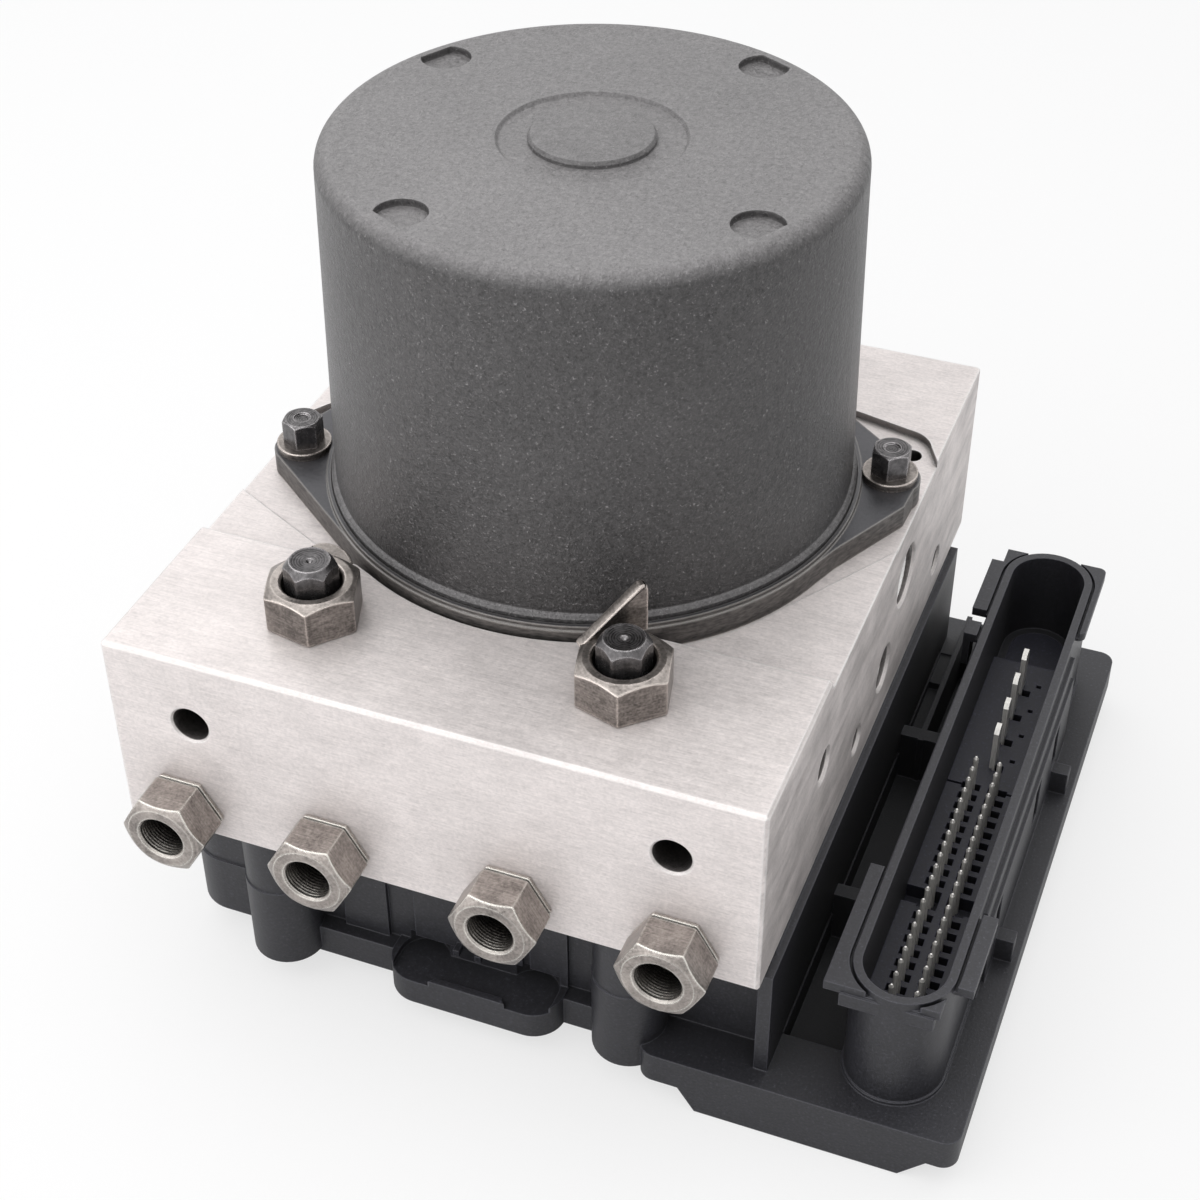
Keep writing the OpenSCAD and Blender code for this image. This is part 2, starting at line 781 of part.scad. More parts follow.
module blanking_plug() {
    top = block_h + plug_top;
    stem_z = block_h + inlet_h - plug_depth;
    rotate(inlet_turn + 30) translate([0, 0, top - plug_top + 2]) difference() {
        intersection() {
            cylinder(r = plug_af / 2 / cos(30), h = plug_top - 2, $fn = 6);
            rotate_extrude() polygon([
                [0, 0],
                [plug_af, 0],
                [plug_af, plug_top - 4.4],
                [plug_land_d / 2, plug_top - 2],
                [0, plug_top - 2]
            ]);
        }
        translate([0, 0, plug_top - 2.5]) cylinder(r1 = 0, r2 = 0.55, h = 0.51);
    }
    translate([0, 0, stem_z]) cylinder(r = inlet_r, h = block_h + 2 - stem_z);
}

module blanking_plugs() color("dimgray") placed() {
    for (x = inlet_xs)
        translate([x, inlet_y, 0]) blanking_plug();
}

// Cups pressed into the side ports
module gallery_plugs() color("silver") placed() {
    for (p = side_ports)
        for (side = [0, 1])
            translate([side ? block_w : 0, p[0], p[1]]) mirror([side, 0, 0])
                translate([0.45 * p[3], 0, 0]) difference() {
                    along_x(p[2], 3.5);
                    translate([-1, 0, 0]) along_x(p[2] - 2, 3);
                }
}

// Motor can, one drawn cup
module motor_can() color([0.2, 0.2, 0.21]) placed() difference() {
    foot = bead_h;
    r0 = can_r;
    r1 = can_r - 0.7;
    r2 = can_top_r;
    q = can_round;
    on_motor(flange_z) difference() {
        rotate_extrude($fn = 128) {
            polygon([
                [0, 0], [r0 - 0.4, 0], [r0, 0.4], [r0, foot - 0.4], [r0 - 0.4, foot],
                [r1 - 0.1, foot + 0.2], [r1, foot + 0.8], [r2, can_h - q], [r2 - q, can_h], [0, can_h]
            ]);
            translate([r2 - q, can_h - q]) intersection() {
                circle(r = q);
                square(q);
            }
            polygon([[0, can_h], [top_disc_r, can_h], [top_disc_r - 0.4, can_h + top_disc_h], [0, can_h + top_disc_h]]);
        }
        translate([0, 0, -1]) cylinder(r = can_in_r, h = can_h - can_wall + 1, $fn = 128);
        // Pressed ring round the raised centre
        translate([0, 0, can_h - 0.5]) difference() {
            cylinder(r1 = top_ring_r - 0.4, r2 = top_ring_r + 0.1, h = 0.51);
            translate([0, 0, -1]) cylinder(r = top_disc_r, h = 3);
        }
        // Four dimples, round inside and straight outside
        for (i = [0 : 3])
            rotate(dimple_turn + 90 * i) translate([dimple_at, 0, can_h - dimple_depth]) intersection() {
                cylinder(d = dimple_w, h = dimple_depth + 1);
                translate([-dimple_w, -dimple_w, 0])
                    cube([dimple_w + dimple_w / 3, 2 * dimple_w, dimple_depth + 1]);
            }
    }
}

// Motor flange, seated in the block's pocket
module motor_flange() color([0.35, 0.35, 0.36]) placed() {
    difference() {
        union() {
            on_motor(seat_z) linear_extrude(flange_t) {
                rotate(ear_turn) eared_disc(flange_r, ear_r, ear_at);
                flange_corner();
            }
            on_motor(flange_z - eps) difference() {
                cylinder(r = flange_r - 0.3, h = rim_h + eps, $fn = 128);
                translate([0, 0, -1]) cylinder(r = rim_r, h = rim_h + 2, $fn = 128);
            }
            on_motor(seat_z - flange_spigot_len) cylinder(r = flange_spigot_r, h = flange_spigot_len + 1);
        }
        on_motor(seat_z - flange_spigot_len - 1) cylinder(r = shaft_r + 1.5, h = block_h);
        at_bolts(seat_z - 1) cylinder(d = bolt_d + 0.4, h = block_h);
    }
}

// Square corner at the front of the right ear
module flange_corner() {
    a = acos((flange_r - ear_r) / ear_at);
    t = ear_turn - a;
    r0 = flange_r - flank_in;
    r1 = ear_r - 2 * flank_in;
    foot = [r0 * cos(t + 6), r0 * sin(t + 6)];
    tip = [ear_at * cos(ear_turn) + r1 * cos(t), ear_at * sin(ear_turn) + r1 * sin(t)];
    polygon([[0, 0], foot, [tip[0] - 0.2, tip[1] - 5.2], tip, [ear_at * cos(ear_turn), ear_at * sin(ear_turn)]]);
}

module motor_bolts() color("dimgray") placed() at_bolts(0) {
    translate([0, 0, seat_z - bolt_depth]) cylinder(d = bolt_d, h = bolt_depth + flange_t + washer_t + 1);
    translate([0, 0, flange_z + washer_t]) rotate(20) difference() {
        hex_head(bolt_af, bolt_head_h);
        translate([0, 0, bolt_head_h - 0.3]) cylinder(d = bolt_af * 0.45, h = 1);
    }
}

module motor_washers() color("gray") placed() at_bolts(flange_z) difference() {
    cylinder(d = washer_d, h = washer_t);
    translate([0, 0, -1]) cylinder(d = bolt_d, h = washer_t + 2);
}

// Magnets glued into the can
module motor_magnets() color([0.25, 0.22, 0.2]) placed() on_motor(core_mid_z - magnet_len / 2) {
    for (i = [0 : 3])
        rotate(90 * i - magnet_angle / 2) rotate_extrude(angle = magnet_angle)
            translate([can_in_r - magnet_t, 0]) square([magnet_t, magnet_len]);
}

module brush_plate() color([0.3, 0.3, 0.28]) placed() on_motor(flange_z) difference() {
    union() {
        cylinder(r = can_in_r, h = brush_plate_t);
        for (side = [0, 180])
            rotate(side) translate([commutator_r + 1.6, -brush_w / 2 - 1.5, 0])
                cube([brush_len + brush_spring_len, brush_w + 3, brush_plate_t + brush_w + 2.2]);
    }
    translate([0, 0, -1]) cylinder(r = commutator_r + 1, h = brush_plate_t + 2);
    for (side = [0, 180])
        rotate(side) translate([0, -brush_w / 2, brush_plate_t + 0.8])
            cube([commutator_r + brush_len + brush_spring_len, brush_w, brush_w]);
}

module carbon_brushes() color([0.12, 0.12, 0.12]) placed() on_motor(flange_z + brush_plate_t + 0.8) {
    for (side = [0, 180])
        rotate(side) difference() {
            translate([commutator_r - 1, -brush_w / 2, 0]) cube([brush_len + 1, brush_w, brush_w]);
            translate([0, 0, -1]) cylinder(r = commutator_r + 0.1, h = brush_w + 2);
        }
}

module brush_springs() color("silver") placed() on_motor(flange_z + brush_plate_t + 0.8) {
    for (side = [0, 180])
        rotate(side) translate([commutator_r + brush_len, 0, brush_w / 2]) rotate([0, 90, 0])
            coil_spring(brush_w / 2 - 0.8, 0.5, brush_spring_len, 4, 10, 5);
}

module bearing_outer() color("silver") placed() on_motor(bearing_z) difference() {
    cylinder(r = bearing_r, h = bearing_w);
    translate([0, 0, -1]) cylinder(r = bearing_r - 1.5, h = bearing_w + 2);
    bearing_groove();
}

// Race that both bearing rings share
ball_at = (bearing_r - 1.5 + shaft_r + 1.7) / 2;
ball_r = (bearing_r - 1.5 - shaft_r - 1.7) / 2 + 0.05;
module bearing_groove() {
    translate([0, 0, bearing_w / 2]) rotate_extrude() translate([ball_at, 0]) circle(r = ball_r + 0.15, $fn = 32);
}

module bearing_inner() color("silver") placed() on_motor(bearing_z) difference() {
    cylinder(r = shaft_r + 1.7, h = bearing_w);
    translate([0, 0, -1]) cylinder(r = shaft_r, h = bearing_w + 2);
    bearing_groove();
}

module bearing_balls() color("white") placed() on_motor(bearing_z + bearing_w / 2) {
    for (i = [0 : ball_n - 1])
        rotate(360 * i / ball_n) translate([ball_at, 0, 0]) sphere(r = ball_r, $fn = 32);
}

module top_bush() color("goldenrod") placed() on_motor(can_top_z - can_wall - bush_h) difference() {
    cylinder(r = shaft_r + 4, h = bush_h);
    translate([0, 0, -1]) cylinder(r = shaft_r + run_gap, h = bush_h + 2);
}

// Shaft with its eccentric journal
module motor_shaft() color("silver") placed() on_motor(0) {
    shaft_top = can_top_z - can_wall - 0.8;
    translate([0, 0, ecc_z - 1.2]) cylinder(r = shaft_r - 1, h = bearing_z - ecc_z + 1.2);
    translate([0, 0, bearing_z]) cylinder(r = shaft_r, h = shaft_top - bearing_z);
    translate([throw, 0, ecc_z + 0.3]) cylinder(r = journal_r, h = ring_w - 0.6);
}

module slots() {
    for (i = [0 : slot_n - 1])
        rotate(360 * i / slot_n) translate([slot_at, 0]) {
            circle(r = slot_r);
            translate([0, -slot_r / 4]) square([core_r, slot_r / 2]);
        }
}

module armature_core() color("gray") placed() on_motor(core_mid_z - core_len / 2)
    linear_extrude(core_len) difference() {
        circle(r = core_r, $fn = 96);
        circle(r = shaft_r);
        slots();
    }

// Winding: one rod through each slot, and the end turns
module armature_winding() color([0.72, 0.38, 0.2]) placed() on_motor(core_mid_z) {
    half = core_len / 2;
    for (i = [0 : slot_n - 1])
        rotate(360 * i / slot_n) translate([slot_at, 0, -half - 1]) cylinder(r = slot_r, h = core_len + 2);
    for (side = [0, 1])
        mirror([0, 0, side]) translate([0, 0, half]) rotate_extrude()
            translate([slot_at - slot_r - 1.4, 0]) square([2 * slot_r + 2.6, winding_h]);
}

module commutator() color([0.72, 0.45, 0.25]) placed() on_motor(commutator_z) difference() {
    cylinder(r = commutator_r, h = commutator_len);
    translate([0, 0, -1]) cylinder(r = shaft_r, h = commutator_len + 2);
    for (i = [0 : slot_n - 1])
        rotate(360 * (i + 0.5) / slot_n) translate([commutator_r - 1.2, -0.3, -1])
            cube([2, 0.6, commutator_len + 2]);
}

module eccentric_ring() color("silver") placed() on_motor(ecc_z) translate([throw, 0, 0]) difference() {
    cylinder(r = ring_r, h = ring_w);
    translate([0, 0, -1]) cylinder(r = journal_r + run_gap, h = ring_w + 2);
}

// Pump pistons, with a tail that carries the return spring
module pump_piston() {
    translate([0, piston_start, 0]) along_y(piston_d, piston_len - 4);
    translate([0, piston_start, 0]) along_y(piston_d - 2 * pump_wire - 1.2, piston_len);
}

module pump_spring() {
    translate([0, piston_end - 4, 0]) rotate([-90, 0, 0])
        coil_spring(piston_r - pump_wire / 2 - 0.1, pump_wire, pump_spring_len + 4 - 2 * throw - 0.3, 7, 12, 6);
}

module pump_piston_front() color("silver") placed() on_motor(pump_z) mirror([0, 1, 0]) pump_piston();
module pump_piston_rear() color("silver") placed() on_motor(pump_z) pump_piston();
module pump_spring_front() color("gray") placed() on_motor(pump_z) mirror([0, 1, 0]) pump_spring();
module pump_spring_rear() color("gray") placed() on_motor(pump_z) pump_spring();

module pump_cap() color("gray") placed() translate([motor_from_left, 0, pump_z]) difference() {
    union() {
        translate([0, pump_cap_y, 0]) along_y(pump_cap_d, pump_cap_t - 0.5);
        translate([0, motor_from_front + pump_bore_end, 0])
            along_y(piston_d + 1.4, pump_cap_y - motor_from_front - pump_bore_end + 1);
    }
    translate([0, block_d - 3.5, 0]) rotate([-90, 0, 0]) cylinder(r = 3.4, h = 4, $fn = 6);
}

// Low-pressure accumulators
module accumulator_piston() {
    difference() {
        translate([0, 0, acc_piston_top - acc_piston_h]) cylinder(r = acc_r - run_gap, h = acc_piston_h);
        translate([0, 0, acc_piston_top - acc_piston_h - 1]) cylinder(r = acc_spring_r - acc_wire, h = acc_piston_h - 1);
    }
}

module left_accumulator() translate([acc_xs[0], acc_y, 0]) children();
module right_accumulator() translate([acc_xs[1], acc_y, 0]) children();
module accumulator_spring() translate([0, 0, acc_spring_z]) coil_spring(acc_spring_r, acc_wire, acc_spring_len, 3, 20, 8);

module accumulator_piston_left() color("silver") placed() left_accumulator() accumulator_piston();
module accumulator_piston_right() color("silver") placed() right_accumulator() accumulator_piston();
module accumulator_spring_left() color("gray") placed() left_accumulator() accumulator_spring();
module accumulator_spring_right() color("gray") placed() right_accumulator() accumulator_spring();

module accumulator_caps() color("gray") placed() at_accumulators(0) difference() {
    cylinder(r = acc_r, h = acc_cap_t);
    translate([0, 0, -1]) cylinder(d = 2, h = acc_cap_t + 2);
    translate([0, 0, -1]) cylinder(r = acc_r - 3, h = 1 + acc_cap_t / 3);
}

// Valve cartridges with their domes
module valve_cartridges() color("silver") placed() at_valves(0) difference() {
    union() {
        cylinder(d = valve_d, h = valve_depth);
        translate([0, 0, -dome_len]) cylinder(d = dome_d, h = dome_len + 1);
    }
    translate([0, 0, -dome_len + dome_floor]) cylinder(d = plunger_d + 2 * run_gap, h = dome_len - dome_floor - 0.5);
    translate([0, 0, -1]) cylinder(d = 2.4, h = valve_depth);
}

// Each spring sits in the cartridge above its plunger
module valve_springs() color("gray") placed() at_valves(-0.5 - valve_spring_len)
    coil_spring(plunger_d / 2 - 0.7, 0.5, valve_spring_len, 3, 10, 5);

module valve_plunger(i) {
    x = valve_xs[i % 4];
    y = valve_ys[floor(i / 4)];
    color("dimgray") placed() translate([x, y, -dome_len + dome_floor + 0.02]) {
        cylinder(d = plunger_d, h = plunger_len);
        cylinder(d = 1.8, h = dome_len);
    }
}

module valve_coils() color([0.75, 0.42, 0.2]) placed() at_valves(-coil_h) difference() {
    cylinder(d = coil_d, h = coil_h);
    translate([0, 0, -1]) cylinder(d = dome_d + 0.3, h = coil_h + 2);
    translate([0, 0, 1.5]) difference() {
        cylinder(d = coil_d + 2, h = coil_h - 3);
        translate([0, 0, -1]) cylinder(d = coil_d - 1.6, h = coil_h);
    }
}

module pressure_sensor() color("silver") placed() translate([block_w / 2, sensor_y, 0]) {
    translate([0, 0, -sensor_h]) cylinder(d = sensor_d, h = sensor_h);
    translate([0, 0, -1]) cylinder(d = sensor_d - 3, h = 5);
    translate([0, 0, bay_z + 0.3]) cylinder(d = 5, h = -bay_z - 0.3);
}

// Outline of the electronics bay, shared by board, cover and housing
module bay_outline(inset) {
    round_rect(bay_x0 + inset, bay_y0 + 2 + inset, board_x1 - inset, bay_y1 - inset, 3);
    round_rect(tub_x0 + 5 + inset, 3 + inset, board_x1 - inset, bay_y1 - inset, 3);
}

module circuit_board() color("darkgreen") placed() translate([0, 0, board_z]) linear_extrude(board_t) difference() {
    bay_outline(0.3);
    at_pins(0) circle(d = pin_d);
    at_blades(0) square([blade_t, blade_w], center = true);
}

module board_parts() color([0.15, 0.15, 0.16]) placed() translate([0, 0, bay_z]) {
    translate([block_w / 2 - 20, chips_y, 0]) cube([chip_w, chip_w, chip_t]);
    translate([block_w / 2 + 8, chips_y + 2, 0]) cube([chip_w - 5, chip_w - 5, chip_t]);
    translate([block_w / 2 + 24, chips_y + 10, 0]) cube([chip_w - 4, chip_w / 2, chip_t]);
    for (x = [bay_x0 + 10.8, bay_x1 - 13.8])
        translate([x, chips_y + 4, 0]) cylinder(d = 6, h = 5);
}

// Control unit housing: one moulding with walls, plate, tray, tub and shroud
module ecu_walls() {
    round_slab(wall_x0, wall_y0, block_w, wall_y1, ecu_corner, skirt_z, 0);
    translate([block_w - 12, wall_y0, skirt_z]) cube([12, 12, -skirt_z]);
    // Panels on the front wall
    for (p = panels)
        translate([p[0], wall_y0 - 0.7, plate_z - 1]) cube([p[1] - p[0], 1.7, -plate_z - 1]);
    // Seam line round the left corner
    round_slab(wall_x0 - 0.3, wall_y0 - 0.3, boss_x1, wall_y1 + 0.3, ecu_corner + 0.3, skirt_z, seam_z);
    // Lip along the block's right side
    translate([block_w - 1, wall_y0 - 5, skirt_z + 1]) cube([1 + lip_t, wall_y1 - wall_y0 + 3, -skirt_z - 1.4]);
}

// Clip pocket in the middle of the front wall
module ecu_clip() {
    translate([50, wall_y0 - 2.4, plate_z - 1]) difference() {
        cube([4.6, 3, 4.2]);
        translate([1, -1, 1]) cube([2.6, 2.6, 4]);
    }
}

module ecu_ledge() {
    round_slab(wall_x0, wall_y0, block_w, wall_y1 + 1, ecu_corner, skirt_z, plate_z);
    translate([boss_x1, 5.5, skirt_z]) cube([boss_x2 - boss_x1 + 4, wall_y0, skirt_h]);
    round_slab(tray_x0, tray_y0, tray_x1, wall_y0 + 4, 5, skirt_z, plate_z + 0.3);
    round_slab(boss_x2 + 3.2, 0, plate_x1, plate_y1, 2.5, skirt_z, plate_z);
}

module ecu_tub() {
    slope = 0.93 * tub_h;
    x0 = tub_x0;
    x1 = plate_x1 - 4.2;
    translate([0, plate_y1 - 2, 0]) rotate([90, 0, 0]) linear_extrude(plate_y1 - 2) polygon([
        [x0, skirt_z + 1], [x0, skirt_z], [x0 + slope * 0.7, rest_z],
        [x1 - slope, rest_z], [x1, skirt_z], [x1, skirt_z + 1]
    ]);
    round_slab(wall_x0, 13, 95, wall_y1, ecu_corner, rest_z, skirt_z + 1);
}

module ecu_bosses() {
    for (x = boss_xs)
        for (y = boss_ys) {
            translate([x, y, skirt_z]) cylinder(r1 = boss_r - 0.8, r2 = boss_r, h = 0.8);
            translate([x, y, skirt_z + 0.8]) cylinder(r = boss_r, h = boss_seam_z - skirt_z - 0.8);
            translate([x, y, boss_seam_z]) cylinder(r = boss_r - 0.2, h = -boss_seam_z);
        }
}

module ecu_shroud() {
    oblong(shroud_r + 0.3, trough_z - 1, plate_z + 0.6);
    oblong(shroud_r, trough_z - 1, shroud_top);
    // Rails along both flanks
    translate([shroud_cx + shroud_r - 1, shroud_y0 + 20, plate_z - 1])
        cube([2.2, shroud_end - shroud_front - 50, -plate_z - 5]);
    translate([shroud_cx - shroud_r - 0.8, shroud_front + 24, trough_z - 1])
        cube([1.8, shroud_end - shroud_front - 38, shroud_top - trough_z - 2.6]);
    translate([shroud_cx, shroud_front + 24, plate_z - 1])
        cube([shroud_r + 0.7, shroud_end - shroud_front - 46, shroud_top - plate_z - 2.4]);
}

// Gap moulded between the collars and the shroud's rim
module ecu_rim_gap() {
    z0 = shroud_top - 1.15;
    difference() {
        oblong(shroud_r + 0.5, z0, shroud_top + 1);
        oblong(shroud_r, z0 - 1, shroud_top + 2);
        translate([shroud_cx - 20, shroud_front + 31, z0 - 1]) cube([40, shroud_end - shroud_front - 58, 4]);
    }
}

module ecu_collars() {
    z0 = shroud_top - 0.15 - collar_t;
    translate([0, 0, z0]) linear_extrude(collar_t) {
        // Front collar and its left strip
        translate([shroud_cx - collar_x, shroud_front + 0.5]) square([collar_x + 6.7, 6]);
        translate([shroud_cx - collar_x, shroud_front + 0.5]) square([collar_x, collar_len]);
        // Right tab
        translate([shroud_cx, shroud_front + 5.9]) square([10.1, 14.7]);
        // Rear collar
        translate([shroud_cx - collar_x - 0.3, shroud_end - 19]) square([collar_x, 14.2]);
        translate([shroud_cx - 8.3, shroud_end - 7.6]) square([8, 6.5]);
        translate([shroud_cx - collar_x - 0.1, shroud_end - 26]) square([4, 3.6]);
        round_rect(shroud_cx, shroud_end - 19.6, shroud_cx + 8.8, shroud_end - 0.8, 1.2);
    }
    translate([shroud_cx - 7.6, shroud_front + 0.2, z0 - 2.2]) cube([13.6, 8, 2.4]);
    // Drop of the tab behind the rear collar
    translate([shroud_cx - collar_x - 0.1, shroud_end - 26, z0 - 5]) cube([1.2, 3.6, 5.2]);
}

module ecu_ribs() {
    for (y = [shroud_front + 34, shroud_end - 34.1]) {
        translate([block_w - 1, y - rib_t / 2, trough_z - 1]) cube([shroud_x - 4, rib_t, rib_h + trough_depth + 1]);
        translate([shroud_cx, y - rib_t / 2, plate_z - 1]) cube([shroud_r + 4.1, rib_t, rib_h + 1]);
    }
    // Wall along the block side of the trough, and the raised rear channel with its ridge
    translate([block_w - 1, wall_y0 + 3, trough_z - 1]) cube([2.2, wall_y1 - wall_y0 - 6, trough_depth + 1]);
    translate([block_w - 1, shroud_end - 34.1, trough_z - 1]) cube([5.6, 30, trough_depth - 0.9]);
    translate([block_w - 1, shroud_end - 15, trough_z - 1]) cube([5.6, 15.6, trough_depth + 0.6]);
    translate([block_w + 4.1, shroud_end - 35.6, trough_z - 1]) cube([0.9, 35, rib_h + trough_depth + 1]);
}

module ecu_housing() color([0.16, 0.16, 0.18]) placed() difference() {
    union() {
        difference() {
            union() {
                ecu_walls();
                ecu_ledge();
                ecu_tub();
            }
            // Troughs on both sides of the connector
            translate([block_w, shroud_front + 7, trough_z])
                cube([shroud_x - shroud_r + 1, shroud_end - shroud_front - 14, trough_depth + 1]);
        }
        ecu_bosses();
        ecu_shroud();
        ecu_collars();
        ecu_ribs();
        ecu_clip();
    }
    ecu_rim_gap();
    // Coil bay, open to the block
    round_slab(bay_x0, bay_y0, bay_x1, bay_y1, 4, plate_z + 2, 1);
    // Electronics bay, open below
    translate([0, 0, rest_z - 1]) linear_extrude(bay_z - rest_z + 1) bay_outline(0);
    round_slab(bay_x0 + 2, bay_y0 + 4, bay_x1 - 2, bay_y1 - 2, 3, bay_z - 1, plate_z + 3);
    seal_ring();
    // Inside of the shroud
    oblong(shroud_in_r, carrier_z - 3, shroud_top + 1);
    oblong(shroud_in_r - 1.4, bay_z - 1, carrier_z);
    // Dished tray
    round_slab(tray_x0 + 1.1, tray_y0 + 1.1, tray_x1 - 1.1, wall_y0 - 0.4, 4, plate_z - 0.7, plate_z + 2);
    // Screw holes
    at_bosses(rest_z - 1) cylinder(d = screw_d + 0.6, h = -rest_z + 2);
    at_bosses(rest_z - 1) cylinder(d = screw_d + 4, h = skirt_z - rest_z + 5);
    // Windows in both flank rails
    for (y = [30, 57, 71])
        translate([shroud_cx + shroud_r + 0.2, shroud_front + y, plate_z + 5]) cube([3, 4, 8]);
    for (y = [45, 64, 86])
        translate([shroud_cx - shroud_r - 3, shroud_front + y, plate_z + 7]) cube([2.8, 4, 7]);
}

module ecu_cover() color([0.2, 0.2, 0.21]) placed() translate([0, 0, rest_z]) linear_extrude(cover_t) bay_outline(0);

// Seal in a groove round the coil bay
module seal_ring() translate([0, 0, -seal_t]) linear_extrude(seal_t) difference() {
    round_rect(bay_x0 - 1.5, bay_y0 - 1.5, bay_x1 + 1.5, bay_y1 + 1.5, 5);
    round_rect(bay_x0 - 0.5, bay_y0 - 0.5, bay_x1 + 0.5, bay_y1 + 0.5, 4.5);
}

module ecu_seal() color([0.1, 0.1, 0.1]) placed() seal_ring();

module ecu_screws() color("silver") placed() at_bosses(skirt_z + 4) {
    translate([0, 0, -2.6]) difference() {
        cylinder(d = screw_d + 3, h = 2.6);
        translate([0, 0, -1]) cylinder(r = 1.8, h = 2.6, $fn = 6);
    }
    cylinder(d = screw_d, h = -skirt_z - 4 + 8);
}

module at_pins(z) {
    for (side = [-1, 1])
        for (i = [0 : pin_n - 1])
            translate([shroud_cx + side * pin_rows / 2, pins_y0 + i * pin_pitch, z]) children();
}

module at_blades(z) {
    for (i = [0 : blade_n - 1])
        translate([shroud_cx, blade_y0 + i * blade_pitch, z]) children();
}

// Slots that the terminals pass through
module terminal_cuts() {
    at_pins(bay_z - 1) cylinder(d = pin_d, h = 30);
    at_blades(bay_z - 1) translate([-blade_t / 2, -blade_w / 2, 0]) cube([blade_t, blade_w, 30]);
}

// Insulator that carries the terminals
module pin_carrier() color([0.12, 0.12, 0.15]) placed() difference() {
    oblong(shroud_in_r - 1.4, bay_z + 0.2, lock_z);
    terminal_cuts();
}

// Plate that locks the terminals in the carrier
module pin_lock() color([0.14, 0.14, 0.17]) placed() difference() {
    intersection() {
        oblong(shroud_in_r, lock_z, carrier_z);
        translate([shroud_cx - 10, shroud_front, lock_z - 1])
            cube([20, blade_y0 + blade_n * blade_pitch - shroud_front, 8]);
    }
    terminal_cuts();
    // Window round each pin, wider on the outer side
    for (side = [-1, 1])
        for (i = [0 : pin_n - 1])
            translate([shroud_cx + side * (pin_rows / 2 + 0.25) - cell_l / 2, pins_y0 + i * pin_pitch - cell_w / 2, carrier_z - 1.8])
                cube([cell_l, cell_w, 3]);
    // Windows and small pockets beside the blades
    at_blades(carrier_z - 1.8) {
        translate([0, -blade_w / 2 - 0.4, 0]) cube([1.8, blade_w / 2 + 0.2, 3]);
        translate([2.4, 1, 0]) cube([0.8, 0.8, 3]);
    }
    // Cross slot, open from the flanks to the middle strip
    for (x = [-shroud_r, strip_w / 2])
        translate([shroud_cx + x, slot_y, carrier_z - 2.6]) cube([shroud_r - strip_w / 2, slot_w, 4]);
    // Joint line between the two halves of the plate
    for (x = [-shroud_r, pin_rows / 2])
        translate([shroud_cx + x, slot_y + 28, carrier_z - 0.6]) cube([shroud_r - pin_rows / 2, 0.5, 2]);
}

module signal_pins() color("silver") placed() at_pins(pin_foot_z) {
    cylinder(d = pin_d, h = pin_tip_z - pin_foot_z - 0.4);
    translate([0, 0, pin_tip_z - pin_foot_z - 0.4]) cylinder(r1 = pin_d / 2, r2 = pin_d / 5, h = 0.4);
}

module power_blades() color("silver") placed() at_blades(pin_foot_z) rotate([90, 0, 90])
    translate([0, 0, -blade_t / 2]) linear_extrude(blade_t) polygon([
        [-blade_w / 2, 0], [blade_w / 2, 0], [blade_w / 2, blade_tip_z - pin_foot_z - 0.8],
        [blade_w / 4, blade_tip_z - pin_foot_z], [-blade_w / 4, blade_tip_z - pin_foot_z],
        [-blade_w / 2, blade_tip_z - pin_foot_z - 0.8]
    ]);

valve_block();
outlet_fittings();
inlet_fitting_left();
inlet_fitting_right();
blanking_plugs();
gallery_plugs();
motor_can();
motor_flange();
motor_bolts();
motor_washers();
motor_magnets();
brush_plate();
carbon_brushes();
brush_springs();
bearing_outer();
top_bush();
pump_cap();
accumulator_caps();
valve_cartridges();
valve_springs();
valve_coils();
pressure_sensor();
circuit_board();
board_parts();
ecu_housing();
ecu_cover();
ecu_seal();
ecu_screws();
pin_carrier();
pin_lock();
signal_pins();
power_blades();
motor_shaft();
armature_core();
armature_winding();
commutator();
bearing_inner();
eccentric_ring();
bearing_balls();
pump_piston_front();
pump_piston_rear();
pump_spring_front();
pump_spring_rear();
accumulator_piston_left();
accumulator_piston_right();
accumulator_spring_left();
accumulator_spring_right();
valve_plunger(0);  // valve_plunger_1
valve_plunger(1);  // valve_plunger_2
valve_plunger(2);  // valve_plunger_3
valve_plunger(3);  // valve_plunger_4
valve_plunger(4);  // valve_plunger_5
valve_plunger(5);  // valve_plunger_6
valve_plunger(6);  // valve_plunger_7
valve_plunger(7);  // valve_plunger_8
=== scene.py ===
"""Brake module, dressed for a plain studio picture."""

import math

import bmesh
import bpy
import numpy as np
from bpy.props import FloatProperty, FloatVectorProperty, PointerProperty
from mathutils import Matrix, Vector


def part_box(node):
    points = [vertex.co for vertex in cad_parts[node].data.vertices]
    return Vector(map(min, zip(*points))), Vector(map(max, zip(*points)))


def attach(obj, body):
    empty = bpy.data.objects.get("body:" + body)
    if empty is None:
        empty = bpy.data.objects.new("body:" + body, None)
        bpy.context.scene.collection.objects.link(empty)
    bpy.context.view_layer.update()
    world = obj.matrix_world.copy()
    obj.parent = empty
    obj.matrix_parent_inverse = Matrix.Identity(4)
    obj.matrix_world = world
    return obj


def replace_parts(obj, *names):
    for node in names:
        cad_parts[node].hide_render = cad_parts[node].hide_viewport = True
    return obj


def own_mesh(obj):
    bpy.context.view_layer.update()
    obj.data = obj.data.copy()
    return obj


bl_info = {
    "name": "Brake module dresser",
    "version": (1, 0, 0),
    "blender": (4, 5, 0),
    "location": "3D View > Sidebar > Brake module",
    "description": "Finishes, trim and studio stage for an anti-lock brake module",
    "category": "Object",
}

